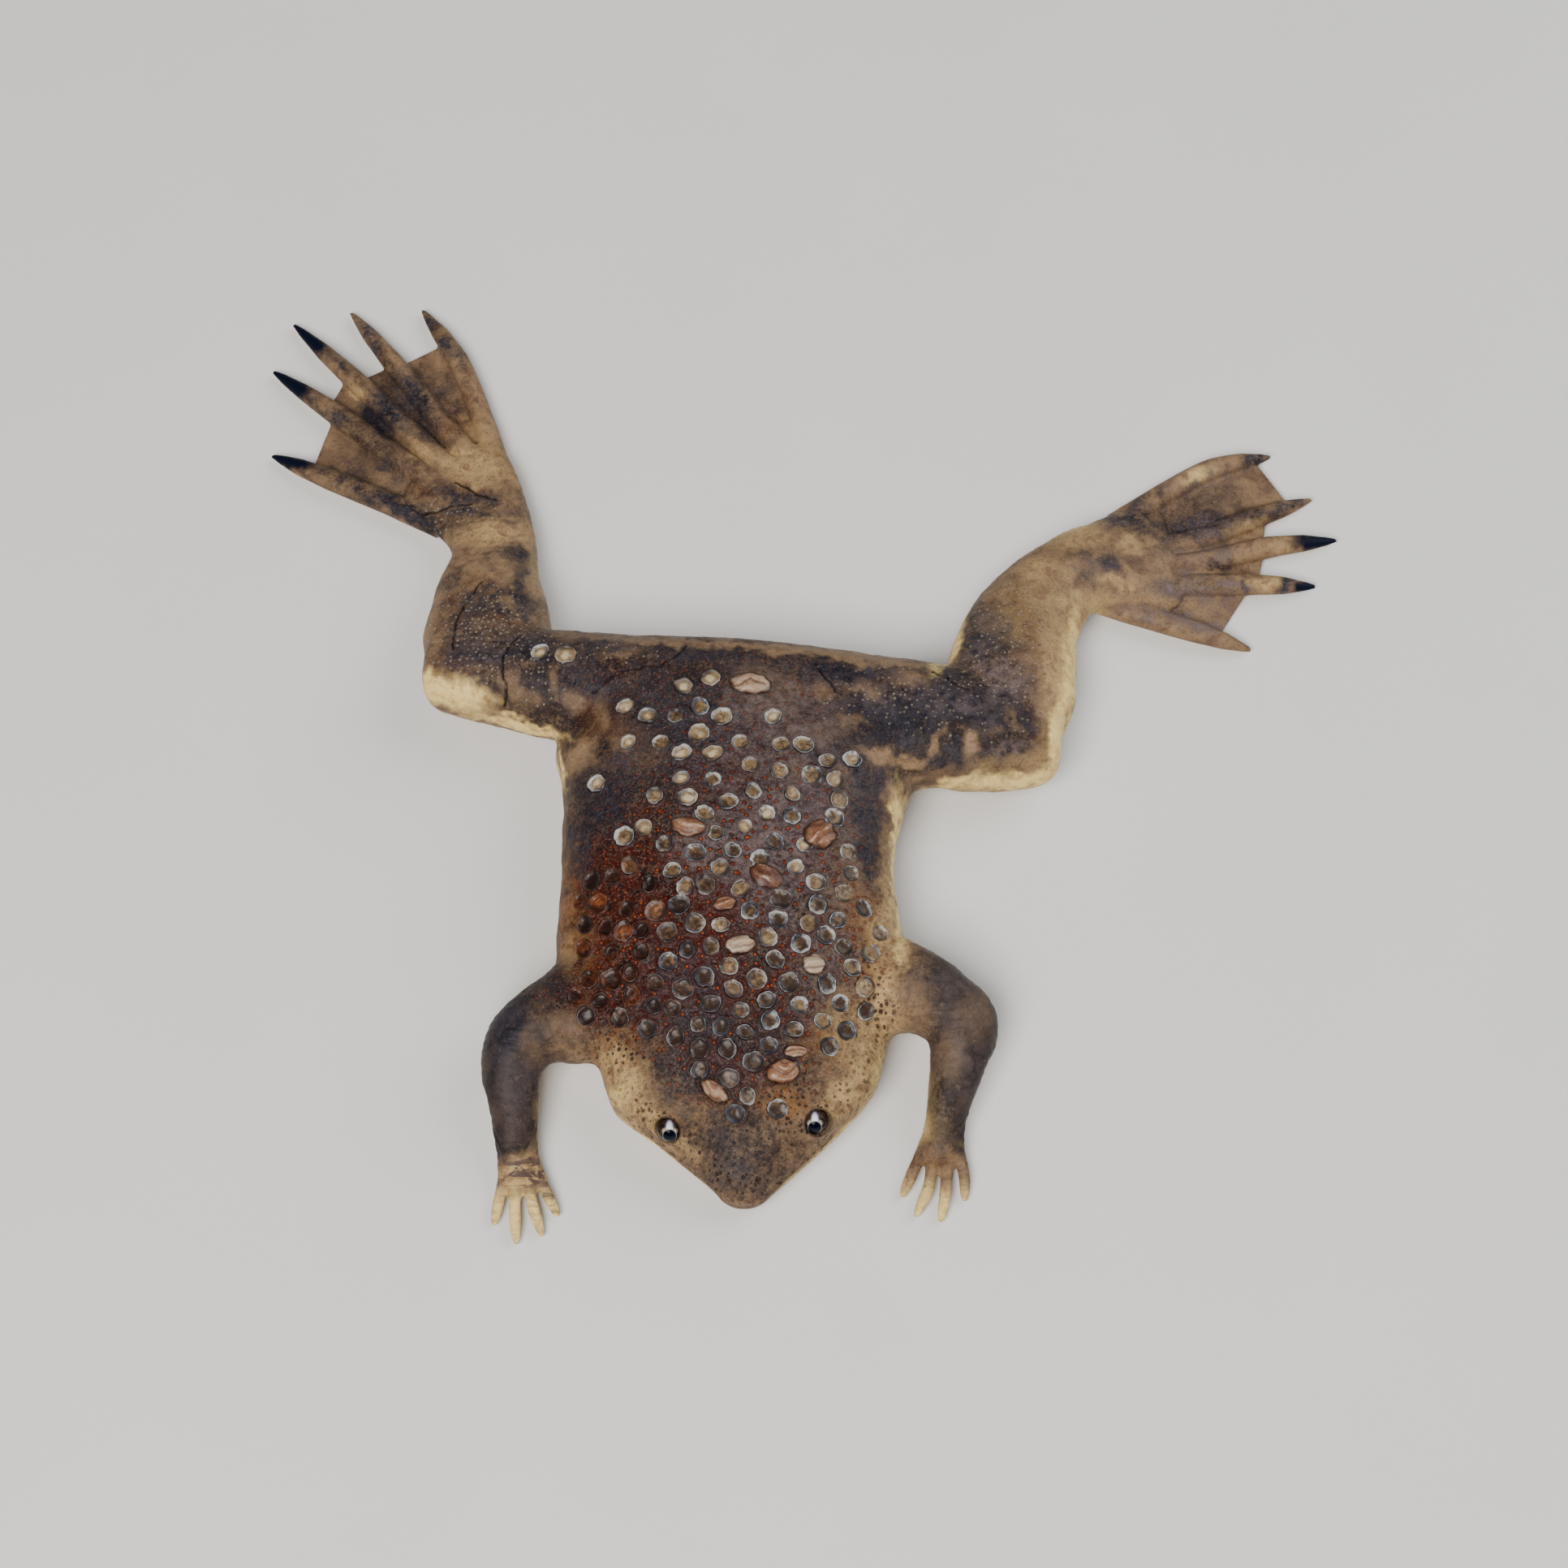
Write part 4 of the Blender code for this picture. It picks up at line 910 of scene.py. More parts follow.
# %% Ovals of the clouds
# Each oval: x and y in pixels, half-length, half-width, turn in degrees, strength
CLOUDS = {
    "umber": (
        (880, 1000, 205, 250, 0, 1.0), (890, 1200, 190, 130, 0, 1.0), (905, 1320, 100, 60, 0, 1.0),
        (790, 850, 190, 75, 0, 1.0), (1080, 880, 190, 80, 5, 1.0), (915, 1405, 80, 60, 0, 0.55),
        (590, 780, 50, 60, 0, 0.6), (1225, 830, 56, 100, 10, 0.7), (700, 1230, 55, 50, 0, 0.9),
        (884, 1400, 16, 26, 0, 0.5), (1540, 642, 44, 14, -12, 0.9), (1140, 1425, 46, 16, 0, 0.3),
        (530, 648, 26, 16, 20, 0.8), (1320, 700, 60, 36, 0, 0.3), (1270, 758, 36, 44, -40, 0.35),
        (478, 442, 24, 9, 48, 0.6), (438, 470, 22, 9, 40, 0.45), (530, 468, 34, 18, 50, 0.3),
        (646, 1438, 44, 14, 0, 0.3), (600, 560, 40, 14, 20, 0.3), (620, 600, 30, 14, 0, 0.3),
        (1150, 1215, 40, 30, 20, 0.5), (480, 540, 90, 60, 40, 0.35), (450, 605, 90, 16, 22, 0.5),
        (455, 545, 90, 16, 38, 0.35), (500, 490, 100, 14, 48, 0.5), (540, 410, 26, 14, 55, 0.5),
        (580, 630, 60, 24, 0, 0.4), (1440, 650, 90, 40, -10, 0.4), (1200, 900, 100, 50, 0, 0.9),
        (660, 830, 50, 50, 0, 0.8), (915, 1462, 40, 20, 0, 0.25), (640, 690, 30, 20, 0, 0.4),
        (1450, 725, 90, 14, 0, 0.35), (770, 1270, 50, 26, 0, 0.5), (1030, 1290, 40, 26, 0, 0.2),
        (1190, 946, 44, 12, -3, 0.6), (650, 856, 40, 18, 10, 0.7), (838, 1300, 40, 24, 0, 0.9),
        (847, 1394, 34, 20, 0, 0.45), (915, 1438, 60, 30, 0, 0.3),
    ),
    "rust": (
        (1300, 806, 10, 24, 0, 0.35), (586, 716, 26, 12, 0, 0.35), (560, 750, 14, 26, 0, 0.35),
        (750, 1110, 85, 100, 0, 1.0), (825, 1140, 70, 80, 0, 1.0), (780, 1205, 90, 60, 0, 0.9),
        (870, 1190, 80, 90, 0, 0.5), (920, 1250, 80, 60, 0, 0.35), (900, 950, 110, 80, 0, 0.12),
        (1000, 870, 60, 40, 0, 0.15), (622, 762, 34, 10, 5, 0.5), (560, 820, 28, 26, 0, 0.5),
        (1225, 822, 40, 12, 10, 0.2), (1280, 890, 16, 40, 0, 0.3), (1100, 836, 34, 8, 8, 0.5),
        (1040, 1240, 40, 50, 0, 0.15), (655, 1270, 30, 40, 0, 0.25), (1185, 1250, 26, 40, 0, 0.3),
        (565, 512, 24, 26, 20, 0.5), (745, 860, 40, 40, 0, 0.4), (520, 604, 18, 8, 30, 0.5),
        (692, 1125, 10, 70, 0, 0.5), (1292, 770, 34, 8, 30, 0.3), (1266, 792, 16, 40, -10, 0.5),
        (1252, 745, 14, 16, 0, 0.4), (1205, 850, 20, 12, 0, 0.3), (580, 605, 40, 5, 12, 0.6),
        (610, 582, 20, 10, 0, 0.3), (930, 880, 70, 50, 0, 0.12), (740, 1250, 50, 24, 0, 0.4),
        (980, 1360, 26, 14, 0, 0.35), (862, 1355, 30, 12, 0, 0.4),
    ),
    "gold": (
        (1078, 1195, 24, 54, 0, 0.8), (1058, 1120, 30, 44, 0, 0.6), (770, 1288, 50, 24, 0, 0.5),
        (712, 1170, 22, 60, 0, 0.6), (1020, 1290, 50, 26, 0, 0.6), (696, 1110, 12, 80, 0, 0.9),
        (850, 1374, 34, 18, 0, 0.5), (962, 1362, 34, 18, 0, 0.8), (760, 900, 50, 40, 0, 0.3),
        (940, 900, 80, 40, 0, 0.25), (1005, 850, 20, 14, 0, 0.5), (1040, 1060, 24, 20, 0, 0.3),
        (950, 1340, 30, 20, 0, 0.3), (880, 1370, 20, 14, 0, 0.4), (1150, 1425, 34, 16, 0, 0.35),
    ),
    "tan": (
        (715, 935, 12, 28, 30, 1.0), (742, 880, 9, 18, 0, 0.6), (708, 866, 15, 9, 20, 0.8),
        (684, 838, 8, 20, 0, 0.7), (630, 836, 13, 13, 0, 0.6), (698, 790, 16, 8, 0, 0.7),
        (762, 803, 28, 7, 5, 0.6), (640, 860, 22, 12, 15, 0.6), (1065, 850, 22, 11, 0, 0.8),
        (1010, 852, 12, 12, 0, 0.7), (1045, 890, 20, 9, 0, 0.7), (1080, 932, 26, 12, 0, 1.0),
        (1124, 936, 22, 7, 5, 1.0), (1150, 918, 6, 18, 15, 1.0), (1198, 916, 11, 22, 25, 1.0),
        (1226, 898, 12, 8, 0, 0.6), (1162, 894, 8, 9, 0, 0.6), (1130, 842, 32, 8, 22, 0.9),
        (1148, 860, 14, 8, 0, 0.6), (1250, 888, 5, 18, -35, 0.7), (1270, 812, 16, 11, 0, 0.6),
        (1094, 980, 8, 26, -6, 0.6), (1044, 958, 7, 24, -35, 0.6), (1022, 915, 10, 10, 0, 0.5),
        (920, 797, 240, 6, 3, 0.8), (1090, 816, 80, 5, 6, 0.9), (800, 935, 24, 16, 0, 0.5),
        (762, 915, 12, 10, 0, 0.6), (950, 838, 40, 14, 20, 0.6), (985, 945, 18, 12, 0, 0.4),
        (900, 862, 16, 10, 0, 0.4), (1288, 703, 32, 18, 0, 0.6), (945, 862, 40, 26, 0, 0.35),
        (1015, 905, 26, 12, 0, 0.4), (640, 740, 20, 7, 0, 0.6), (615, 705, 34, 8, 0, 0.4),
        (1120, 1230, 24, 26, 0, 0.5), (700, 1262, 30, 18, 0, 0.4), (1125, 960, 30, 5, -35, 0.7),
        (1175, 950, 30, 6, -12, 0.5), (650, 1290, 14, 22, 0, 0.3), (1170, 1300, 16, 30, 0, 0.3),
        (690, 960, 6, 30, 0, 0.8), (1204, 1245, 24, 40, 0, 0.25),
    ),
    "slate": (
        (740, 985, 38, 46, -15, 0.9), (715, 1040, 18, 40, 0, 0.8), (1070, 1010, 22, 55, -5, 1.0),
        (1068, 1062, 13, 28, 0, 0.9), (920, 1045, 70, 60, 0, 0.45), (1000, 1000, 55, 50, 0, 0.6),
        (975, 1110, 80, 70, 0, 0.4), (860, 900, 90, 60, 0, 0.45), (762, 935, 30, 22, 0, 0.6),
        (1030, 832, 32, 14, 25, 1.0), (1068, 826, 40, 9, 5, 1.0), (1060, 872, 40, 12, 5, 1.0),
        (1100, 880, 50, 18, 5, 1.0), (1095, 905, 40, 10, 0, 0.8), (1165, 866, 34, 24, 10, 1.0),
        (1200, 872, 50, 22, 20, 1.0), (1238, 858, 24, 14, 20, 0.9), (1150, 940, 16, 12, 0, 0.8),
        (1112, 915, 18, 12, 0, 0.9), (1172, 925, 12, 18, 0, 0.9), (1213, 890, 22, 14, 30, 0.8),
        (1266, 893, 13, 18, -20, 0.8), (1240, 925, 30, 10, 0, 0.4), (1180, 838, 40, 12, 20, 0.8),
        (1222, 766, 24, 18, 20, 0.8), (1214, 778, 30, 26, 0, 0.6), (1206, 790, 30, 14, 0, 1.0),
        (1250, 790, 18, 12, 0, 0.8), (1206, 812, 26, 12, 20, 0.9), (985, 826, 30, 14, 20, 0.5),
        (1060, 958, 24, 14, -30, 0.8), (850, 806, 44, 12, 0, 0.5), (745, 797, 34, 8, 0, 0.8),
        (890, 812, 50, 10, 3, 0.6), (725, 842, 24, 18, 0, 0.8), (705, 815, 40, 10, 0, 0.6),
        (660, 800, 24, 20, 0, 0.6), (660, 840, 14, 16, 0, 0.5), (750, 855, 20, 20, 0, 0.4),
        (700, 905, 10, 24, 20, 0.5), (643, 728, 14, 26, -10, 1.0), (660, 750, 10, 16, -20, 0.9),
        (602, 730, 30, 11, -8, 0.9), (590, 750, 28, 16, 0, 0.8), (630, 755, 30, 10, 15, 0.7),
        (552, 716, 20, 9, -35, 0.7), (578, 786, 18, 18, 0, 0.7), (600, 803, 46, 11, -5, 1.0),
        (560, 812, 24, 14, 30, 0.5), (640, 785, 30, 9, 0, 0.8), (585, 840, 26, 9, 20, 0.5),
        (555, 770, 12, 26, 0, 0.35), (640, 684, 26, 15, 5, 0.8), (600, 690, 14, 8, 0, 0.4),
        (640, 640, 26, 12, 25, 0.55), (575, 628, 34, 7, 10, 0.9), (560, 607, 26, 9, 15, 1.0),
        (602, 612, 24, 6, 5, 0.7), (565, 652, 36, 9, 12, 0.6), (520, 640, 24, 12, 28, 0.9),
        (488, 620, 42, 14, 20, 0.95), (446, 600, 6, 13, 0, 0.8), (426, 590, 8, 8, 0, 0.6),
        (402, 582, 10, 7, 15, 0.6), (474, 572, 14, 9, 40, 0.8), (492, 592, 14, 8, 35, 0.5),
        (420, 512, 17, 8, 25, 1.0), (396, 512, 14, 10, 40, 0.7), (388, 490, 8, 8, 0, 0.5),
        (482, 506, 34, 17, 47, 1.0), (462, 520, 10, 34, -42, 0.8), (420, 449, 15, 7, 40, 0.9),
        (410, 436, 8, 5, 0, 0.5), (450, 408, 24, 12, 50, 0.8), (464, 428, 8, 8, 0, 0.8),
        (512, 490, 34, 17, 52, 1.0), (532, 528, 18, 10, 52, 0.6), (530, 393, 15, 8, 55, 0.9),
        (550, 430, 14, 10, 30, 0.9), (574, 436, 10, 12, 40, 0.7), (545, 480, 26, 12, -30, 0.5),
        (560, 500, 24, 10, 40, 0.5), (430, 575, 24, 8, 25, 0.35), (510, 455, 14, 6, 30, 0.4),
        (1372, 642, 34, 9, -14, 0.9), (1402, 630, 14, 22, 0, 0.8), (1420, 648, 20, 7, -8, 0.6),
        (1434, 612, 5, 16, 0, 0.5), (1366, 693, 14, 12, 0, 0.9), (1300, 702, 9, 8, 0, 0.6),
        (1340, 713, 22, 7, 0, 0.8), (1332, 682, 14, 6, 0, 0.5), (1464, 650, 36, 12, -14, 1.0),
        (1500, 642, 14, 14, 0, 0.8), (1590, 624, 24, 10, -12, 1.0), (1548, 567, 22, 7, -8, 1.0),
        (1498, 674, 24, 9, -8, 0.4), (1450, 682, 30, 8, -8, 0.2), (1462, 722, 60, 12, 0, 0.2),
        (1537, 721, 6, 12, 0, 0.8), (1581, 720, 13, 11, 0, 1.0), (1500, 697, 20, 7, 0, 0.8),
        (1500, 655, 30, 6, -10, 0.5), (1408, 758, 7, 12, 0, 0.5), (1430, 748, 26, 4, 12, 0.4),
        (1490, 600, 30, 10, -10, 0.35), (960, 1270, 50, 40, 0, 0.35), (880, 1290, 40, 30, 0, 0.4),
        (1180, 1210, 34, 14, 35, 0.3), (622, 1262, 26, 60, 0, 0.8), (650, 1340, 30, 40, 0, 0.5),
        (1045, 1180, 26, 20, 0, 0.3), (830, 930, 70, 44, 0, 0.5), (930, 905, 60, 36, 0, 0.4),
        (1000, 905, 50, 34, 0, 0.5), (1128, 868, 40, 20, 10, 0.9), (790, 860, 50, 40, 0, 0.6),
        (880, 880, 60, 44, 0, 0.6), (960, 850, 60, 34, 5, 0.6), (1030, 930, 40, 30, 0, 0.5),
        (920, 1330, 36, 24, 0, 0.3), (690, 1215, 26, 14, 0, 0.4), (700, 830, 26, 44, 0, 0.5),
        (1470, 725, 60, 12, 0, 0.35), (1450, 764, 66, 10, 10, 0.4), (1490, 620, 70, 16, -12, 0.3),
        (1235, 785, 16, 40, 15, 0.5), (960, 1010, 90, 110, 0, 0.25), (850, 1240, 60, 90, 0, 0.6),
        (1090, 850, 50, 30, 0, 0.3), (915, 1440, 60, 34, 0, 0.4), (1092, 960, 30, 20, 0, 0.5),
        (1190, 946, 40, 12, -3, 0.4),
    ),
    "buff": (
        (758, 1340, 40, 40, 40, 1.0), (806, 1384, 64, 12, 38, 0.8), (1076, 1310, 24, 56, 12, 1.0),
        (1046, 1350, 56, 20, -42, 0.9), (1090, 1235, 14, 44, 0, 0.9), (756, 1310, 22, 22, 0, 0.6),
        (644, 1446, 46, 22, 0, 0.9), (1108, 1160, 12, 26, 0, 1.0), (700, 1172, 8, 26, 0, 0.3),
        (1098, 1265, 20, 26, 0, 0.7), (585, 576, 44, 22, 10, 0.8), (606, 655, 44, 16, -5, 0.8),
        (590, 540, 16, 34, -20, 0.4), (520, 556, 20, 10, 45, 0.6), (440, 478, 16, 8, 42, 0.7),
        (1330, 740, 46, 12, 5, 0.5), (1380, 718, 36, 8, 8, 0.7), (1560, 722, 14, 11, 0, 0.9),
        (1575, 672, 18, 9, 0, 0.5), (1540, 650, 26, 9, -14, 0.5), (1330, 660, 40, 12, -10, 0.5),
        (1395, 668, 24, 8, -8, 0.6), (1270, 750, 50, 44, -40, 0.3), (1300, 820, 20, 60, 0, 0.6),
        (655, 700, 8, 50, -6, 0.3), (1420, 735, 30, 6, 10, 0.3), (1250, 942, 60, 12, -3, 0.3),
        (1288, 890, 12, 56, 8, 0.25), (1085, 1150, 18, 34, 0, 0.6), (1046, 1270, 28, 50, 0, 0.45),
        (1094, 1060, 8, 60, -3, 0.45), (1288, 703, 34, 18, 0, 0.45), (1096, 1110, 10, 40, 0, 0.5),
    ),
    "cream": (
        (1107, 1080, 8, 95, 0, 1.0), (1103, 1010, 6, 36, -8, 0.55), (1250, 963, 72, 12, -3, 0.9),
        (1155, 974, 50, 7, -24, 0.65), (1305, 900, 12, 70, 8, 0.9), (1322, 812, 12, 60, 0, 0.8),
        (1168, 795, 11, 36, 25, 1.0), (558, 852, 42, 18, 18, 1.0), (640, 894, 56, 7, 14, 1.0),
        (531, 846, 10, 22, 0, 1.0), (690, 945, 5, 30, -12, 0.6), (646, 1505, 66, 38, 0, 1.0),
        (1152, 1490, 60, 28, 0, 1.0), (755, 1352, 12, 28, 40, 0.4), (1084, 1318, 10, 34, 12, 0.5),
        (1474, 588, 20, 9, -20, 0.4),
    ),
    "ink": (
        (378, 415, 31, 15, 42, 1.0), (352, 470, 36, 15, 36, 1.0), (352, 565, 34, 13, 18, 1.0),
        (1630, 667, 33, 12, 0, 1.0), (1612, 723, 15, 9, 0, 1.0), (468, 522, 22, 10, 42, 0.6),
        (500, 628, 24, 8, 20, 0.3), (1072, 1015, 20, 56, -5, 0.4), (1100, 888, 50, 18, 5, 0.35),
        (1185, 868, 56, 18, 12, 0.3), (740, 985, 28, 40, -15, 0.3), (850, 806, 60, 9, 3, 0.3),
        (1045, 832, 38, 12, 12, 0.4), (645, 735, 13, 24, -10, 0.4), (600, 803, 40, 9, -5, 0.3),
        (716, 1040, 14, 36, 0, 0.2), (690, 800, 40, 14, 0, 0.25),
    ),
    # Grey clouds; those over the middle of the back stand for a painted sheen
    "ash": (
        (1470, 724, 76, 14, 0, 1.0), (1485, 682, 50, 12, -8, 0.8), (1455, 764, 80, 11, 10, 1.0),
        (1480, 590, 50, 16, -14, 0.5), (1500, 650, 70, 12, -12, 0.4), (1505, 745, 40, 12, 0, 0.5),
        (1190, 1290, 24, 80, 0, 0.3), (1150, 1212, 40, 20, 10, 0.3), (1238, 836, 34, 24, 10, 0.5),
        (1200, 872, 34, 16, 20, 0.5), (1228, 822, 40, 16, 10, 0.7), (1165, 868, 30, 18, 10, 0.4),
        (1222, 766, 20, 14, 20, 0.4), (1206, 806, 24, 16, 0, 0.4), (1372, 642, 30, 8, -14, 0.3),
        (935, 1030, 60, 50, 0, 0.3), (1290, 870, 20, 30, 0, 0.3), (1240, 925, 34, 10, 0, 0.5),
        (960, 1020, 100, 130, 0, 0.55), (856, 1047, 40, 40, 0, 0.5), (960, 872, 80, 50, 0, 0.5),
        (1092, 850, 44, 26, 0, 0.4), (1240, 850, 36, 30, 0, 0.5), (601, 801, 50, 30, 0, 0.3),
        (1337, 703, 30, 16, 0, 0.4), (1020, 1200, 50, 60, 0, 0.4), (915, 1455, 40, 20, 0, 0.25),
        (945, 1096, 36, 36, 0, 0.4), (800, 801, 50, 14, 0, 0.2),
    ),
    "bands": (
        (646, 1442, 50, 22, 0, 1.0), (684, 1480, 16, 30, -20, 0.7), (655, 1490, 12, 30, 0, 0.4),
        (1150, 1412, 40, 14, 0, 0.2), (645, 1530, 70, 24, 0, 0.3), (1155, 1480, 60, 40, 0, 0.25),
    ),
    "specks": (
        (915, 1390, 200, 120, 0, 1.0), (770, 1290, 60, 44, 0, 1.0), (1075, 1240, 44, 80, 0, 1.0),
        (1080, 1110, 16, 60, 0, 0.6),
    ),
    "glands": (
        (900, 1070, 165, 150, 0, 1.0), (880, 1190, 195, 115, 0, 1.0), (915, 1310, 95, 55, 0, 0.8),
        (880, 850, 150, 60, 0, 0.35),
    ),
    "beads": (
        (600, 780, 84, 76, 0, 1.0), (660, 840, 60, 46, 0, 0.6), (1065, 850, 90, 48, 0, 0.7),
        (1232, 820, 80, 100, 0, 0.75), (745, 800, 74, 18, 0, 0.7), (560, 635, 70, 34, 0, 0.6),
        (1140, 880, 60, 50, 0, 0.6), (1250, 740, 50, 40, 0, 0.4), (850, 810, 60, 16, 0, 0.4),
    ),
}
print({name: len(ovals) for name, ovals in CLOUDS.items()})

# %% [markdown]
# Each oval is frayed by random fields of three sizes, then softened across its edge.
# Only ink has a firm edge, as on the toe tips.

# %% Spray the clouds on the skin
FRAY = 6.5                # pixels
FRAY_FIELDS = ((5.0, 1.0), (2.2, 0.7), (1.1, 0.5))     # size in mm, share of the fray
# Share of an oval that is full before its edge begins to fade
FIRM = {"ink": 0.7, "cream": 0.1, "slate": 0.15, "ash": 0.1, "umber": 0.2}
FIRM_OTHERS = 0.3
FADED = 1.55              # where the edge ends
lit_side = rise(normals @ -np.array(AHEAD), -0.15, 0.2)


def frayed(*seeds):
    return sum(share * field(points, size, seed)
               for (size, share), seed in zip(FRAY_FIELDS, seeds))


spread = pixels(points) + FRAY * np.stack((frayed(8, 9, 17), frayed(10, 11, 18)), axis=1)


def cloud(ovals, firm):
    """A mask from soft ovals on the side of the skin that the camera sees."""
    bare = np.ones(len(points))
    for x, y, long, wide, turn, strength in ovals:
        close = np.flatnonzero((np.abs(spread - (x, y)) < 1.5 * max(long, wide)).all(axis=1))
        turn = math.radians(turn)
        away = spread[close] - (x, y)
        along = (away[:, 0] * math.cos(turn) + away[:, 1] * math.sin(turn)) / long
        across = (away[:, 1] * math.cos(turn) - away[:, 0] * math.sin(turn)) / wide
        bare[close] *= 1 - strength * (1 - rise(np.hypot(along, across), firm, FADED))
    return (1 - bare) * lit_side


masks = {name: cloud(ovals, FIRM.get(name, FIRM_OTHERS)) for name, ovals in CLOUDS.items()}
print({name: round(float(mask.mean()), 3) for name, mask in masks.items()})

# %% [markdown]
# Other masks follow from where a point lies: the dusky arms, the webs, the belly and
# the cream that reaches from the belly round the flanks. Their borders are places in
# millimetres, and a random field makes them waver too.

# %% Masks by place
x, y, z = points.T
coarse = field(points, 5.0, 8)
arms = (rise(np.abs(x) + 3 * coarse, 35, 56) * (1 - rise(y, -52, -40))
        * rise(y + 1.5 * coarse + 6.0 * (x < 0), -101, -91))
feet = np.maximum(rise(y, 58, 70) * (x < 0), rise(x, 86, 96))
hands = rise(np.abs(x), 38, 42) * (1 - rise(y, -96, -90))
trunk_side = 1 - np.maximum(np.maximum(arms, hands), feet)
muzzle = 1 - rise(y, -106, -84)
right_flank = (1 - rise(x, -34, -20)) * (1 - rise(y, 10, 24)) * rise(y, -60, -50)
low = 1 - rise(z + 1.4 * field(points, 6.0, 12) + 4.5 * muzzle + 4.0 * right_flank, 2.0, 12.0)
masks["cream"] = np.maximum(masks["cream"], low * trunk_side)
masks["belly"] = 1 - lit_side
masks["arms"] = arms
masks["web"] = feet * (1 - rise(z, 2.6, 4.6)) * lit_side
masks["crease"] = creases
masks["pit"] = pit_mask
masks["lip"] = lip_mask
masks["lid"] = eye_socket_shade
masks["upward"] = rise(normals[:, 2], 0.25, 0.55)
print({name: round(float(masks[name].mean()), 3) for name in ("belly", "arms", "web")})


# %% Keep the masks on the mesh
def store(mesh, name, values):
    """Numbers for the shader, one for each point."""
    layer = mesh.attributes.new(name, "FLOAT", "POINT")
    layer.data.foreach_set("value", np.ascontiguousarray(values, np.float32))


for name, mask in masks.items():
    store(skin.data, name, mask)
print(len(masks), "masks on the skin")

# %% [markdown]
# ## Paint 2: shader maths written as sums
#
# A skin shader is a long sum of masks and textures. A small class wraps a socket, so
# that the sum can be written with plus and times, and one method adds any other kind
# of node. Colours go through Mix nodes, because a Math node would turn them grey.

# %% A socket that stands in expressions
class Value:
    """A number, colour or vector that a node gives."""

    def __init__(self, paint, socket):
        self.paint = paint
        self.socket = socket

    def maths(self, operation, *terms):
        return self.paint.node("ShaderNodeMath", {"operation": operation}, dict(enumerate(terms)))

    def __add__(self, other):
        return self.maths("ADD", self, other)

    def __sub__(self, other):
        return self.maths("SUBTRACT", self, other)

    def __rsub__(self, other):
        return self.maths("SUBTRACT", other, self)

    def __mul__(self, other):
        return self.maths("MULTIPLY", self, other)

    __radd__ = __add__
    __rmul__ = __mul__

    def between(self, low, high):
        """0 below low and 1 above high, or the other way round if low is the higher."""
        return self.paint.node("ShaderNodeMapRange", {"interpolation_type": "SMOOTHSTEP"},
                               {"Value": self, "From Min": low, "From Max": high})


print("sockets can be added, subtracted and multiplied")

# %% [markdown]
# A material is then an object that adds nodes to itself. It has a short way for each
# kind of node that a painter needs here: masks, colour mixes, noise, cells and bumps.


# %% One material, made node by node
class Paint:
    """One material, made node by node."""

    def __init__(self, name):
        self.material = bpy.data.materials.new(name)
        self.material.use_nodes = True
        self.tree = self.material.node_tree
        self.tree.nodes.clear()
        self.place = self.node("ShaderNodeTexCoord", {}, {}, "Object")

    def node(self, kind, settings, sockets, output=0):
        """Add a node: its settings first, then the values or links of its sockets."""
        made = self.tree.nodes.new(kind)
        for name, setting in settings.items():
            setattr(made, name, setting)
        for name, given in sockets.items():
            if isinstance(given, Value):
                self.tree.links.new(given.socket, made.inputs[name])
            else:
                made.inputs[name].default_value = given
        return Value(self, made.outputs[output]) if len(made.outputs) else None

    def mask(self, name):
        """A mask that is kept on the mesh."""
        return self.node("ShaderNodeAttribute", {"attribute_name": name}, {}, "Fac")

    def mix(self, share, under, over):
        """The colour under, covered by the colour over where share is 1."""
        under, over = [c if isinstance(c, Value) else (*c, 1.0) for c in (under, over)]
        return self.node("ShaderNodeMix", {"data_type": "RGBA"}, {0: share, 6: under, 7: over}, 2)

    def grain(self, size, detail, roughness, swirl=0.0):
        """Noise from 0 to 1 with features of about a size in mm."""
        return self.node("ShaderNodeTexNoise", {}, {
            "Vector": self.place, "Scale": 1 / (size * MM), "Detail": detail,
            "Roughness": roughness, "Distortion": swirl})

    def cells(self, size, feature="F1", output="Distance", flat=False):
        """Distance in cells from scattered points about a size in mm apart."""
        room = "2D" if flat else "3D"
        return self.node("ShaderNodeTexVoronoi", {"voronoi_dimensions": room, "feature": feature},
                         {"Vector": self.place, "Scale": 1 / (size * MM)}, output)

    def bump(self, height, depth):
        """Relief from a height of 0 to 1 that stands for a depth in mm."""
        return self.node("ShaderNodeBump", {}, {"Height": height, "Distance": depth * MM})

    def finish(self, **sockets):
        """Principled skin of the given sockets, to the output."""
        named = {name.replace("_", " "): given for name, given in sockets.items()}
        shader = self.node("ShaderNodeBsdfPrincipled", {}, named)
        self.node("ShaderNodeOutputMaterial", {}, {"Surface": shader})
        return self.material


def node_count(obj):
    return len(obj.data.materials[0].node_tree.nodes)


print("short ways:", ", ".join(name for name in vars(Paint) if not name.startswith("_")))
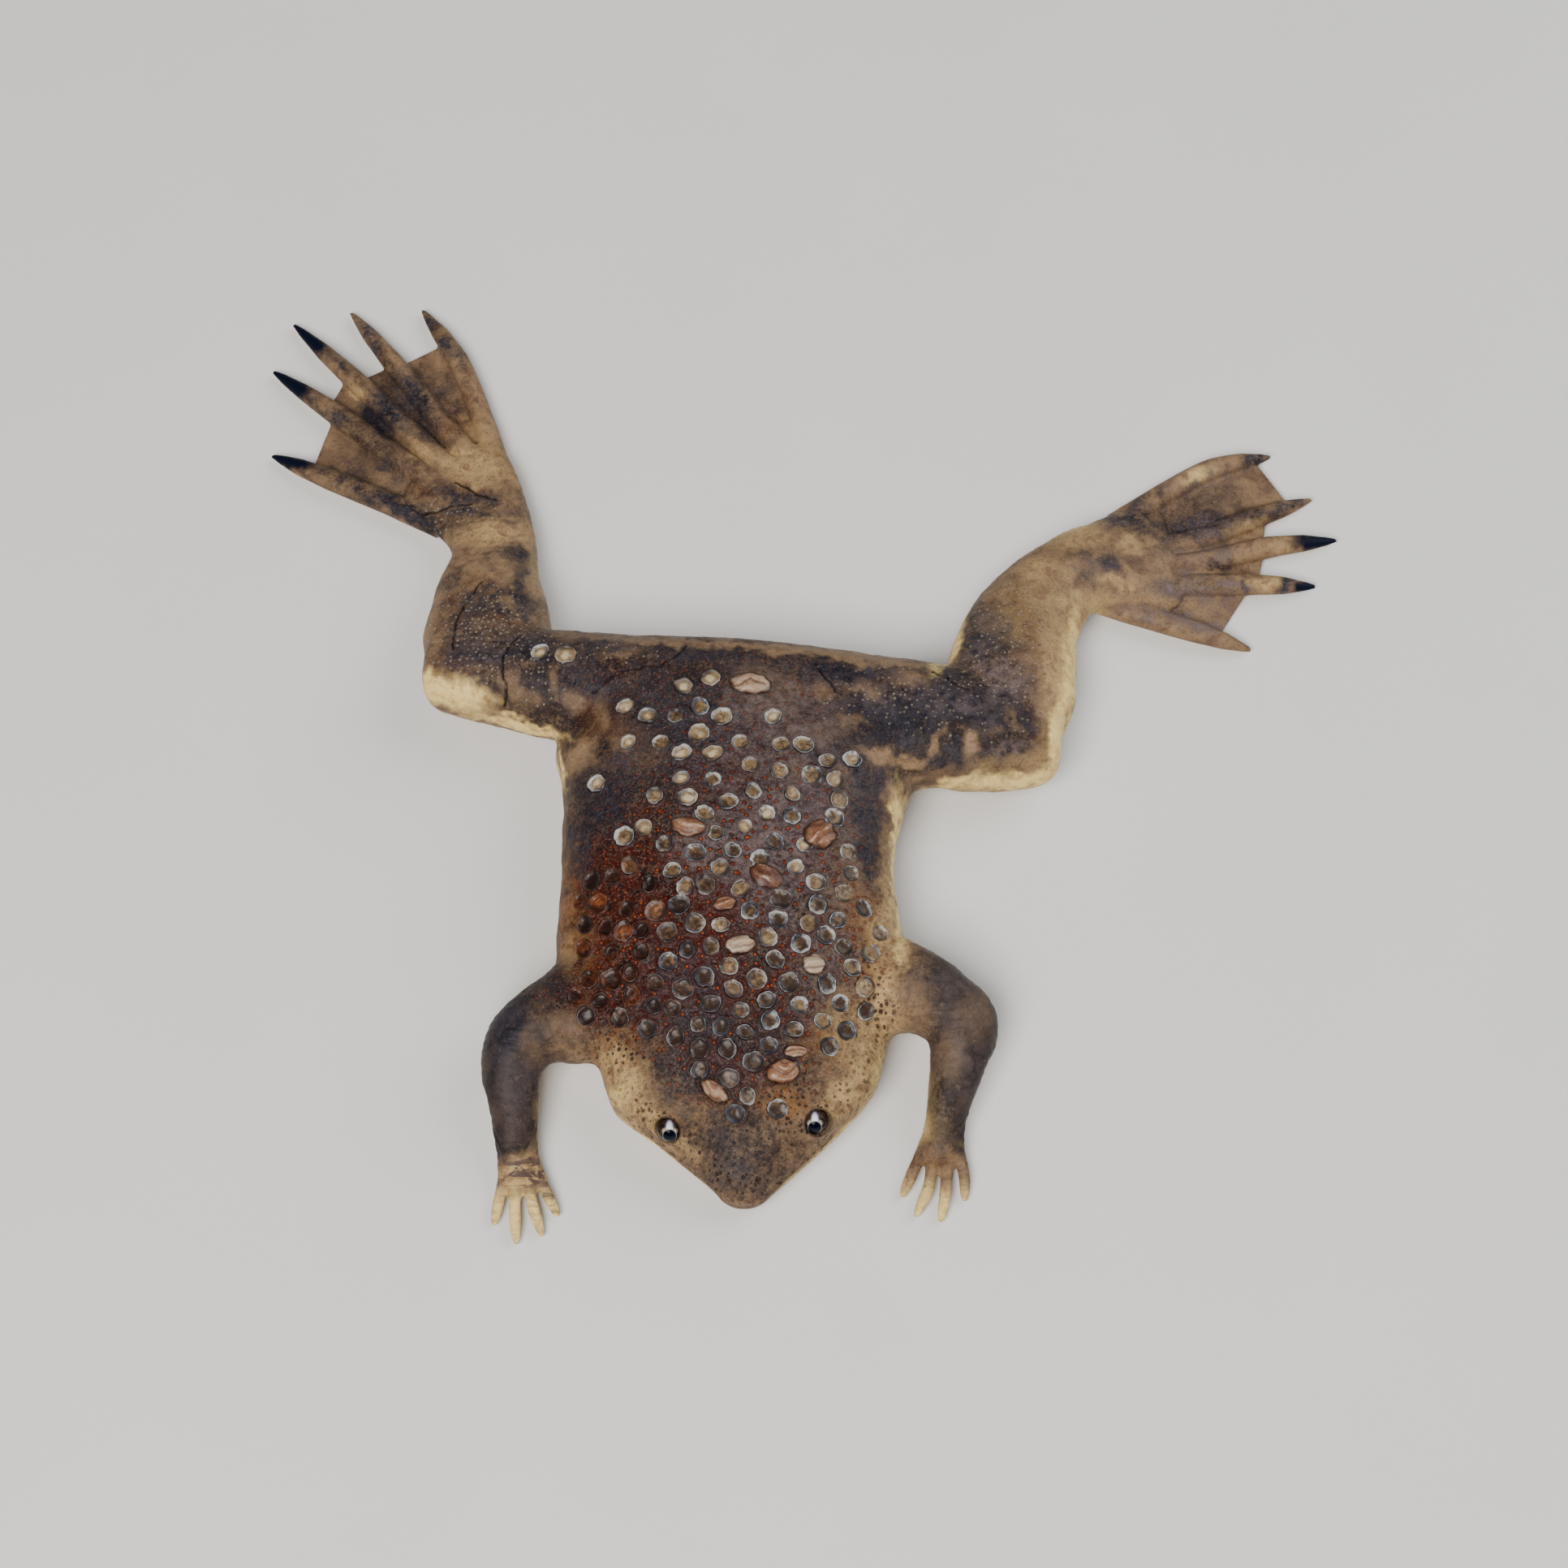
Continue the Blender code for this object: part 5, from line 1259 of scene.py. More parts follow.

# %% [markdown]
# ## Paint 3: the skin
#
# The layers go on one over another, as a painter would glaze them: tan first, then
# umber, rust, gold, the dusky arms, slate, ash with a painted sheen over the middle of
# the back, buff and cream. Every mask is broken up by noise before it is used, so no
# edge is smoother than the skin is. The noises are made once and shared, which keeps
# the layers in step with each other.

# %% Skin colours
TAN = (0.255, 0.160, 0.086)
TAN_DEEP = (0.075, 0.044, 0.031)
UMBER = (0.011, 0.0078, 0.0076)
UMBER_LIGHT = (0.039, 0.023, 0.020)
RUST = (0.046, 0.0058, 0.0017)
RUST_DEEP = (0.008, 0.0021, 0.0014)
GOLD = (0.230, 0.110, 0.034)
SLATE = (0.0085, 0.0085, 0.0135)
SLATE_LIGHT = (0.050, 0.044, 0.053)
ASH_AND_SHEEN = (0.165, 0.120, 0.112)
CREAM = (0.800, 0.585, 0.225)
CREAM_WARM = (0.480, 0.290, 0.100)
BUFF = (0.430, 0.285, 0.125)
BUFF_DEEP = (0.200, 0.115, 0.060)
DUSK = (0.017, 0.013, 0.014)
DUSK_LIGHT = (0.058, 0.039, 0.033)
LIP = (0.085, 0.058, 0.054)
FLECK = (0.240, 0.045, 0.010)
DUST_PALE = (0.270, 0.160, 0.150)
THREAD = (0.170, 0.130, 0.115)
BAND = (0.080, 0.050, 0.042)
INK = (0.0012, 0.0030, 0.0120)
GLAND = (0.100, 0.009, 0.003)
GLAND_HOT = (0.300, 0.055, 0.011)
WART = (0.270, 0.230, 0.180)
SPECK_AND_CREASE_SHADE = (0.010, 0.006, 0.006)
BELLY = (0.480, 0.370, 0.250)
BELLY_SHADE = (0.260, 0.190, 0.140)


class SkinPaint(Paint):
    """Paint with the noises that all layers of the skin share."""

    def __init__(self, name):
        super().__init__(name)
        self.broad = self.grain(9.0, 4.0, 0.6)
        self.fine = self.grain(2.2, 5.0, 0.65)
        self.dust = self.grain(0.6, 3.0, 0.6)
        self.smoke = self.grain(3.4, 6.0, 0.68, 0.6).between(0.28, 0.72)
        self.feather = self.grain(1.3, 5.0, 0.72, 0.9).between(0.40, 0.62)
        self.mottle = self.grain(4.4, 5.0, 0.64, 0.5).between(0.42, 0.64)
        self.upward = self.mask("upward")

    def smoky(self, name, thin):
        """A mask that the noise thins out, down to a share of itself."""
        return self.mask(name) * (self.smoke * 0.75 + self.feather * 0.55 + thin - 0.08)


print("shared noises: broad, fine, dust, smoke, feather, mottle")


# %% Dark clouds: tan ground, umber, rust, gold and the dusky arms
def dark_clouds(paint):
    broad, fine, dust, smoke = paint.broad, paint.fine, paint.dust, paint.smoke
    colour = paint.mix(paint.mottle * 0.6 + fine.between(0.45, 0.72) * 0.25, TAN, TAN_DEEP)
    web = paint.mix(broad.between(0.35, 0.65), TAN_DEEP, TAN)
    colour = paint.mix(paint.mask("web") * 0.6, colour, web)
    umber = paint.mix(smoke * 0.7 + broad.between(0.40, 0.66) * 0.35 - 0.05, UMBER, UMBER_LIGHT)
    colour = paint.mix(paint.smoky("umber", 0.6), colour, umber)
    rust = paint.mix(fine.between(0.42, 0.64), RUST, RUST_DEEP)
    rust = paint.mix(dust.between(0.58, 0.70) * fine.between(0.55, 0.45) * 0.8, rust, FLECK)
    colour = paint.mix(paint.smoky("rust", 0.45), colour, rust)
    colour = paint.mix(paint.mask("gold") * broad.between(0.30, 0.60) * 0.9, colour, GOLD)
    dusk = paint.mix(broad.between(0.42, 0.66) * 0.8 + smoke * 0.3 - 0.1, DUSK, DUSK_LIGHT)
    return paint.mix(paint.smoky("arms", 0.7), colour, dusk)


print("dark clouds: umber, rust, gold, arms")


# %% Light clouds: tan, slate, ash with painted sheen, buff and cream
def light_clouds(paint, colour):
    broad, fine, smoke = paint.broad, paint.fine, paint.smoke
    colour = paint.mix(paint.smoky("tan", 0.45) * 0.9, colour, TAN)
    slate = fine.between(0.36, 0.74) * 0.6 + broad.between(0.35, 0.65) * 0.4
    colour = paint.mix(paint.smoky("slate", 0.5) * 0.9, colour,
                       paint.mix(slate, SLATE, SLATE_LIGHT))
    # Grey ash, and over the middle of the back a painted sheen
    ash = paint.mask("ash") * (fine.between(0.34, 0.60) * 0.55 + paint.mottle * 0.5)
    colour = paint.mix(ash, colour, ASH_AND_SHEEN)
    buff = paint.mix(smoke.between(0.35, 1.0), BUFF, BUFF_DEEP)
    colour = paint.mix(paint.smoky("buff", 0.6), colour, buff)
    cream = paint.mix(fine.between(0.42, 0.78), CREAM, CREAM_WARM)
    return paint.mix(paint.smoky("cream", 0.85), colour, cream)


print("light clouds: tan, slate, ash, buff, cream")

# %% [markdown]
# Over the clouds come short brown bands across the fingers, and dust, pale and dark,
# as on skin that is a little rough. Bands are noise that is stretched along one axis.
# The belly stays plain.

# %% Bands, dust and belly
BAND_STRETCH = (0.28, 1.0, 1.0)
BAND_WIDTH = 1.9          # mm


def bands_and_dust(paint, colour):
    long_way = paint.node("ShaderNodeVectorMath", {"operation": "MULTIPLY"},
                          {0: paint.place, 1: BAND_STRETCH})
    bands = paint.node("ShaderNodeTexNoise", {}, {
        "Vector": long_way, "Scale": 1 / (BAND_WIDTH * MM), "Detail": 2.0, "Distortion": 0.8})
    colour = paint.mix(bands.between(0.45, 0.55) * paint.mask("bands"), colour, BAND)
    belly = paint.mix(paint.broad.between(0.45, 0.70), BELLY, BELLY_SHADE)
    plain = 1 - paint.mask("cream") * 0.7 - paint.mask("arms") * 0.6
    plain = plain.between(0.0, 1.0)
    colour = paint.mix(paint.dust.between(0.54, 0.70) * plain * 0.22, colour, DUST_PALE)
    colour = paint.mix(paint.dust.between(0.46, 0.32) * plain * 0.40, colour, UMBER)
    return paint.mix(paint.mask("belly"), colour, belly)


print("bands about", round(BAND_WIDTH / BAND_STRETCH[0], 1), "mm long")

# %% [markdown]
# The small marks come last. Each kind is a field of cells: points scattered about a
# size apart, where the distance to the nearest point gives a dot. The head has dark
# specks, the thighs have pale warts, and red glands lie between the pits. Cells that
# are flat give round dots seen from above, so the steep sides have their own.

# %% Specks of the head and warts of the thighs
SPECK_SIZE = 1.45
SIDE_SPECK_SIZE = 1.6
WART_SIZE = 1.6


def head_specks(paint, colour):
    fine, dust, head, upward = paint.fine, paint.dust, paint.mask("specks"), paint.upward
    colour = paint.mix(fine.between(0.42, 0.70) * head * 0.45, colour, UMBER)
    size = paint.cells(SPECK_SIZE, output="Color", flat=True) * 0.36
    ragged = (fine - 0.5) * 0.45 + (dust - 0.5) * 0.35
    specks = (paint.cells(SPECK_SIZE, flat=True) - size + ragged).between(0.12, -0.06) * upward
    side_specks = paint.cells(SIDE_SPECK_SIZE) + ragged * 0.6
    side_specks = side_specks.between(0.36, 0.22) * (1 - upward)
    thinned = paint.broad.between(0.38, 0.58) * 0.5 + 0.4
    return paint.mix((specks + side_specks) * head * thinned, colour, SPECK_AND_CREASE_SHADE)


def warts(paint, colour):
    """The colour with its warts, and where they are."""
    kind = paint.cells(WART_SIZE, output="Color", flat=True)
    chosen = (kind + paint.mask("beads")).between(1.10, 1.35)
    distance = paint.cells(WART_SIZE, flat=True) + (paint.fine - 0.5) * 0.5
    beads = distance.between(0.27, 0.12) * chosen * paint.upward
    return paint.mix(beads * 0.55, colour, WART), beads


print("specks", SPECK_SIZE, "mm apart, warts", WART_SIZE, "mm")

# %% Glands and threads between the pits
GLAND_SIZE = 2.7
THREAD_SIZE = 3.4


def glands(paint, colour):
    """The colour of the ground between the pits, and where its glands are."""
    fine, dust, ground = paint.fine, paint.dust, paint.mask("glands")
    ruddy = paint.broad.between(0.44, 0.60) * (ground - 0.35).between(0.0, 0.6) * 0.45
    colour = paint.mix(ruddy * (1 - paint.mask("ash")), colour, RUST)
    gland = paint.cells(GLAND_SIZE, flat=True) + (dust - 0.5) * 0.20
    kind = paint.cells(GLAND_SIZE, output="Color", flat=True)
    between_pits = ground * (1 - paint.mask("pit")) * paint.upward
    powder = dust.between(0.50, 0.66) * paint.smoke * between_pits
    colour = paint.mix(powder * (1 - 0.6 * paint.mask("rust")) * 0.5, colour, DUST_PALE)
    threads = paint.cells(THREAD_SIZE, "DISTANCE_TO_EDGE", flat=True) + (fine - 0.5) * 0.12
    threads = threads.between(0.045, 0.015) * fine.between(0.42, 0.58) * between_pits
    colour = paint.mix(threads * 0.35, colour, THREAD)
    dots = gland.between(0.19, 0.11) * between_pits
    halo = gland.between(0.32, 0.18) * between_pits
    colour = paint.mix(halo * 0.6, colour, RUST_DEEP)
    hot = gland.between(0.15, 0.04) * kind.between(0.25, 0.60)
    hot = paint.mix(hot, GLAND, GLAND_HOT)
    return paint.mix(dots * kind.between(0.10, 0.45), colour, hot), dots


print("glands", GLAND_SIZE, "mm apart")


# %% The whole skin
SKIN_DEPTH = 0.24         # mm, of the bump that stands for the finest grain


def skin_paint():
    paint = SkinPaint("toad_skin")
    colour = light_clouds(paint, dark_clouds(paint))
    colour = head_specks(paint, bands_and_dust(paint, colour))
    colour, beads = warts(paint, colour)
    colour, dots = glands(paint, colour)
    # Painted shade darkens the creases and the skin right round each eyeball; lips and ink are
    # their own colours
    for name, share, over in (("crease", 0.95, SPECK_AND_CREASE_SHADE), ("lid", 0.7, UMBER), ("lip", 0.8, LIP),
                              ("ink", 1.0, INK)):
        colour = paint.mix(paint.mask(name) * share, colour, over)
    fine, dust = paint.fine, paint.dust
    pores = paint.cells(0.55, "SMOOTH_F1")
    height = fine * 0.5 + dust * 0.35 + (1 - pores) * 0.25 + beads * 0.8 + dots * 0.7
    return paint.finish(Base_Color=colour, Roughness=dust * 0.22 + fine * 0.16 + 0.28,
                        Normal=paint.bump(height, SKIN_DEPTH), Specular_IOR_Level=0.11)


skin.data.materials.clear()
skin.data.materials.append(skin_paint())
skin.data.shade_smooth()
write_points(skin.data, placed(points))
flesh = [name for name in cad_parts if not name.startswith("eye")]
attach(skin, "root")
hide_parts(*flesh)
print("skin stands for", len(flesh), "solids and has", node_count(skin), "nodes of paint")

# %% [markdown]
# ## Inside the pits
#
# Each pit holds an egg under a thin horny membrane. Around it stands a pale, wet,
# broken rim, with highlights painted on it where it would catch the light. Both are one
# turned shape: a profile of radius and height swept round the pit's axis, then pushed
# about a little so that no two match.

# %% Turned shapes on the skin
# Profile of a lining from the middle outwards: share of the radius, height in mm
LINING = ((0.0, -0.52), (0.25, -0.50), (0.45, -0.44), (0.62, -0.34), (0.76, -0.20), (0.87, -0.02),
          (0.94, 0.14), (1.00, 0.19), (1.06, 0.12), (1.14, -0.10), (1.22, -0.60))
TURNED_SIDES = 40
WOBBLE = 0.12             # mm, up and down
FIELD_STEP = 40.0         # mm from one shape's part of the random field to the next


def turned(site, normal, radius, turn, profile, stretch, rough, seed):
    """Points of a turned shape on the skin, and each one's share of the radius."""
    turns = np.arange(TURNED_SIDES) * 2 * math.pi / TURNED_SIDES
    shares = np.repeat([share for share, _ in profile], TURNED_SIDES)
    heights = np.repeat([height for _, height in profile], TURNED_SIDES)
    turns = np.tile(turns, len(profile))
    flat = np.column_stack((shares * radius * np.cos(turns),
                            shares * radius * stretch * np.sin(turns)))
    local = np.column_stack((flat @ swing(turn), heights))
    wobble = field(local + FIELD_STEP * seed, 1.1, 13)
    local[:, :2] *= (1 + rough * wobble * shares)[:, None]
    local[:, 2] += WOBBLE * field(local + FIELD_STEP * seed, 1.2, 14)
    return local @ seat(normal).T + np.array(site), shares


def ring_faces(first, rows):
    """Faces between the rings of a turned shape whose points start at a number."""
    faces = []
    for row, k in itertools.product(range(rows - 1), range(TURNED_SIDES)):
        after = (k + 1) % TURNED_SIDES
        a = first + row * TURNED_SIDES
        faces.append((a + k, a + TURNED_SIDES + k, a + TURNED_SIDES + after, a + after))
    return faces


print("a lining has", len(LINING) * TURNED_SIDES, "points")

# %% [markdown]
# How a pit is filled follows from where it lies: bigger eggs at the rump, warm ones on
# the animal's right side, smaller and duller ones towards the neck. Chance does the
# rest. The numbers that say so are kept on the lining, and its paint reads them.

# %% How each pit is filled
EGG_BULGE = 0.55          # mm
EGG_REACH = 0.7           # share of the radius
LINING_RADIUS = 0.94      # share of the pit's own radius
LINING_ROUGH = 0.13       # how uneven the outline is, as a share of the radius
draw = random.Random(8)


def limited(value):
    return max(0.0, min(1.0, value))


def filling(x, y):
    """Shares of egg, pale rim, warm and cool colour of the pit at a pixel."""
    warm = (rise(870 - x + 30 * draw.uniform(-1, 1), -15, 95)
            * rise(y, 1030, 1090) * (1 - rise(y, 1230, 1300)))
    rump = 1 - rise(y, 960, 1060)
    neck = rise(y, 1180, 1300)
    dim = rise(y, 1120, 1200) * (1 - rise(x, 880, 960))
    warm = max(warm, 0.3 * dim)
    egg = limited(0.35 + 0.40 * rump + draw.uniform(-0.40, 0.40) - 0.3 * neck - 0.1 * dim)
    pale = limited(0.60 + draw.uniform(-0.50, 0.40) - 0.5 * warm - 0.25 * neck - 0.12 * dim)
    return {"egg": egg, "pale": pale, "warm": warm, "cool": draw.uniform(0.1, 1.0) * (1 - warm)}


def add_turned(pile, made, shares, rows, marks):
    """Put one turned shape and its numbers to those before it."""
    pile["faces"] += ring_faces(len(pile["points"]), rows)
    pile["points"] += made.tolist()
    for name, values in {"share": shares, **marks}.items():
        pile["marks"].setdefault(name, []).extend(np.broadcast_to(values, len(made)).tolist())


def turned_object(name, pile):
    obj = mesh_object(name, placed(pile["points"]), pile["faces"])
    for mark, values in pile["marks"].items():
        store(obj.data, mark, values)
    return obj


inside = {"points": [], "faces": [], "marks": {}}
for number, (site, normal, radius, turn) in enumerate(pit_sites):
    marks = filling(*pixels([site])[0])
    bulge = EGG_BULGE * marks["egg"]
    profile = [(share, height + bulge * max(0.0, 1 - (share / EGG_REACH) ** 2))
               for share, height in LINING]
    made, shares = turned(site, normal, LINING_RADIUS * radius, turn, profile,
                          draw.uniform(0.80, 1.0), LINING_ROUGH, number)
    glow = seat(normal) @ np.array((math.cos(3 * turn), math.sin(3 * turn), 0.0))
    marks["lean"] = (made - np.array(site)) @ glow / radius
    add_turned(inside, made, shares, len(profile), marks)
linings = turned_object("pit_linings", inside)
print("linings", len(linings.data.polygons), "faces")

# %% [markdown]
# The paint of a lining runs from the egg in the middle to the wet rim. Each tone comes
# twice, once for the cool side of the back and once for its warm side, and the mask
# "warm" picks between the two. Light falls on one side of each pit and shade on the
# other, which a model maker would paint in as well.

# %% Paint of the linings
# Colours on the cool side of the back, and on its warm side
EGG_DARK = (0.034, 0.018, 0.011), (0.011, 0.0034, 0.0022)
EGG_LIGHT = (0.270, 0.175, 0.085), (0.150, 0.036, 0.011)
EGG_SPOT = (0.500, 0.410, 0.270), (0.330, 0.100, 0.028)
PIT_SHADE = (0.014, 0.011, 0.013), (0.010, 0.0035, 0.0025)
PIT_OUTSIDE = (0.016, 0.012, 0.014), (0.020, 0.005, 0.003)
# Colours that noise picks between: the glassy band with its pale streaks, which are
# partly a painted reflection, and the pale rim, which is partly a painted highlight
GLASS_AND_REFLECTION = (0.050, 0.064, 0.098), (0.340, 0.370, 0.375)
RIM_AND_HIGHLIGHT = (0.52, 0.57, 0.60), (0.15, 0.19, 0.25)
WARM_EDGE = (0.070, 0.040, 0.034)
GLEAM = (0.520, 0.490, 0.420)


def lining_paint():
    paint = Paint("pit_lining")
    share, lean, egg, pale, warm, cool = [
        paint.mask(name) for name in ("share", "lean", "egg", "pale", "warm", "cool")]
    swirl = paint.grain(1.7, 3.0, 0.55, 1.0)
    patch = paint.grain(2.2, 2.0, 0.5)
    dust = paint.grain(0.45, 2.0, 0.6)
    filled = egg * 0.9 + (swirl - 0.5) * 1.8 + share * 0.25 - warm * 0.15
    colour = paint.mix(filled.between(0.05, 1.20), paint.mix(warm, *EGG_DARK),
                       paint.mix(warm, *EGG_LIGHT))
    spot = (share + (patch - 0.5) * 1.4).between(0.60, 0.25)
    spot = spot * (egg + swirl * 0.5).between(0.85, 1.15)
    colour = paint.mix(spot * 0.8, colour, paint.mix(warm, *EGG_SPOT))
    # The glassy band on the wall; its pale streaks lean to the lit side and are partly a painted
    # reflection
    glass = (share + (patch - 0.5) * 0.5).between(0.55, 0.82)
    reflection_streaks = (swirl + (pale - 0.5) * 0.30 + lean * 0.12).between(0.50, 0.66)
    colour = paint.mix(glass * cool * 0.75, colour, paint.mix(reflection_streaks, *GLASS_AND_REFLECTION))
    crescent = (lean + (swirl - 0.5) * 0.7).between(0.45, 0.90) * share.between(0.55, 0.80)
    colour = paint.mix(crescent * pale * (1 - 0.85 * warm) * 0.7, colour, GLEAM)
    shade = (0 - lean + (swirl - 0.5) * 0.7).between(0.15, 0.75) * share.between(0.40, 0.75)
    colour = paint.mix(shade * 0.80, colour, paint.mix(warm, *PIT_SHADE))
    # Thin pale rim lines, more of them on the lit side: partly the rim's own colour, partly
    # painted highlight
    rim = share.between(0.94, 0.975) * share.between(1.04, 1.00)
    inner = share.between(0.79, 0.83) * share.between(0.89, 0.85)
    broken = (patch * 2.2 + pale * 0.6 + lean * 0.3).between(1.12, 1.62)
    lines = (rim + inner * 0.5 * swirl.between(0.45, 0.6)) * broken
    edge = paint.mix(dust.between(0.3, 0.7), *RIM_AND_HIGHLIGHT)
    colour = paint.mix(lines * 0.75, colour, paint.mix(warm * 0.9, edge, WARM_EDGE))
    colour = paint.mix(share.between(1.02, 1.10), colour, paint.mix(warm, *PIT_OUTSIDE))
    return paint.finish(Base_Color=colour, Roughness=dust * 0.3 + 0.18,
                        Normal=paint.bump(swirl * 0.5 + dust * 0.3, 0.12),
                        Specular_IOR_Level=0.27)


linings.data.materials.append(lining_paint())
linings.data.shade_smooth()
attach(linings, "root")
print("linings have", node_count(linings), "nodes of paint")

# %% [markdown]
# ## Swollen lids
#
# Some pits are closed by their own membrane, which swells to a pinkish dome with folds
# that run along it, with shade painted in their troughs and highlight on their crests.
# The dome's edge is darker where it sinks into the skin. The dome is a turned shape
# too, longer than wide, with ridges added along its length.

# %% Domes of the lids
# Profile from the middle outwards: share of the half-length, height in mm
DOME = ((0.0, 1.45), (0.15, 1.44), (0.30, 1.39), (0.45, 1.28), (0.60, 1.08), (0.72, 0.84),
        (0.83, 0.52), (0.92, 0.16), (0.98, -0.25), (1.02, -0.8))
DOME_WIDTH = 3.2          # half-width in mm of the lid that has just this height
FOLD_HEIGHT = 0.40
FOLDS = 6.5               # radians of the folds' wave over half a width
LID_ROUGH = 0.17
FIRST_SEED = 300          # the pits have the seeds before it
closed = {"points": [], "faces": [], "marks": {}}
for number, (site, normal, long, wide, turn, tone) in enumerate(lid_sites):
    profile = [(share, height * wide / DOME_WIDTH) for share, height in DOME]
    made, shares = turned(site, normal, long, turn, profile, wide / long, LID_ROUGH,
                          FIRST_SEED + number)
    side = seat(normal) @ np.array((-math.sin(turn), math.cos(turn), 0.0))
    across = (made - np.array(site)) @ side
    fold = np.sin(across / wide * FOLDS + 4.2 * field(made, 3.0, 15) + number)
    made += np.array(normal) * (FOLD_HEIGHT * fold * (1 - shares ** 2))[:, None]
    add_turned(closed, made, shares, len(profile), {"fold": 0.5 + 0.5 * fold, "tone": tone})
lids = turned_object("brood_lids", closed)
print("lids", len(lids.data.polygons), "faces")


# %% Paint of the lids
LID_DARK = (0.070, 0.022, 0.012)
LID_MIDDLE = (0.235, 0.105, 0.052)
LID_CREAM = (0.400, 0.300, 0.210)
FOLD_SHADE = (0.050, 0.016, 0.010)
FOLD_HIGHLIGHT = (0.480, 0.360, 0.250)
LID_EDGE = (0.026, 0.010, 0.008)


def lid_paint():
    paint = Paint("brood_lid")
    share, fold, tone = [paint.mask(name) for name in ("share", "fold", "tone")]
    cloudy = paint.grain(2.2, 4.0, 0.6, 0.8)
    dust = paint.grain(0.45, 3.0, 0.6)
    colour = paint.mix((tone + (cloudy - 0.5) * 1.2).between(0.0, 0.55), LID_DARK, LID_MIDDLE)
    colour = paint.mix((tone + (cloudy - 0.5) * 1.4).between(0.45, 1.05), colour, LID_CREAM)
    # Painted shade in the troughs of the folds, and painted highlight on their crests
    colour = paint.mix(fold.between(0.30, 0.0) * 0.7, colour, FOLD_SHADE)
    colour = paint.mix(fold.between(0.72, 1.0) * cloudy.between(0.56, 0.44) * 0.6, colour,
                       FOLD_HIGHLIGHT)
    colour = paint.mix(share.between(0.74, 0.95), colour, LID_EDGE)
    return paint.finish(Base_Color=colour, Roughness=dust * 0.3 + 0.22,
                        Normal=paint.bump(cloudy * 0.5 + dust * 0.5, 0.16),
                        Specular_IOR_Level=0.40)


lids.data.materials.append(lid_paint())
lids.data.shade_smooth()
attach(lids, "root")
print("lids have", node_count(lids), "nodes of paint")

# %% [markdown]
# ## Eyes
#
# A Surinam toad has tiny eyes that look up. The ball is a glass bead in a museum
# model, painted from behind: a black pupil near its front edge with a thin grey ring,
# a painted silver highlight behind it, cream flanks and dark amber round the outside.

# %% Eyeballs
# Ovals on the ball: middle, half-width and half-height, in shares of its radius
PUPIL_OVAL = (-0.50, 0.47, 0.47)
FLANK_OVAL = (-0.14, 0.66, 0.38)
GAP_OVAL = (0.22, 0.42, 0.60)
# The last oval is that of the painted highlight
HIGHLIGHT_OVAL = (0.22, 0.31, 0.58)
CORNEA = 0.16             # mm that it stands out over the pupil


def eyeball(name):
    """A ball with a cornea, and the places of its points as the camera sees them."""
    mesh = bpy.data.meshes.new(name)
    bm = bmesh.new()
    bmesh.ops.create_uvsphere(bm, u_segments=96, v_segments=64, radius=EYE_RADIUS)
    bm.to_mesh(mesh)
    bm.free()
    ball = add_object(name + "_ball", mesh)
    surface, _ = read_points(mesh)
    outward = surface / EYE_RADIUS
    side = outward @ np.array(RIGHT)
    up = outward @ np.array(UP)
    front = rise(outward @ -np.array(AHEAD), -0.1, 0.2)
    cornea = CORNEA * front * bell(np.hypot(side, up - PUPIL_OVAL[0]), 0.6)
    surface += outward * cornea[:, None]
    for mark, values in (("side", side), ("up", up), ("front", front)):
        store(mesh, mark, values)
    write_points(mesh, placed(surface + np.array(EYES[name])))
    return ball


print("pupils", round(2 * PUPIL_OVAL[1] * EYE_RADIUS, 1), "mm wide")

# %% Paint of the eyes
AMBER = (0.012, 0.007, 0.007), (0.070, 0.030, 0.014)
EYE_FLANK = (0.440, 0.400, 0.290)
EYE_SHADE = (0.050, 0.038, 0.050)
PAINTED_HIGHLIGHT = (0.78, 0.82, 0.90)
PUPIL_RING = (0.400, 0.400, 0.400)
PUPIL = (0.0005, 0.0014, 0.0070)


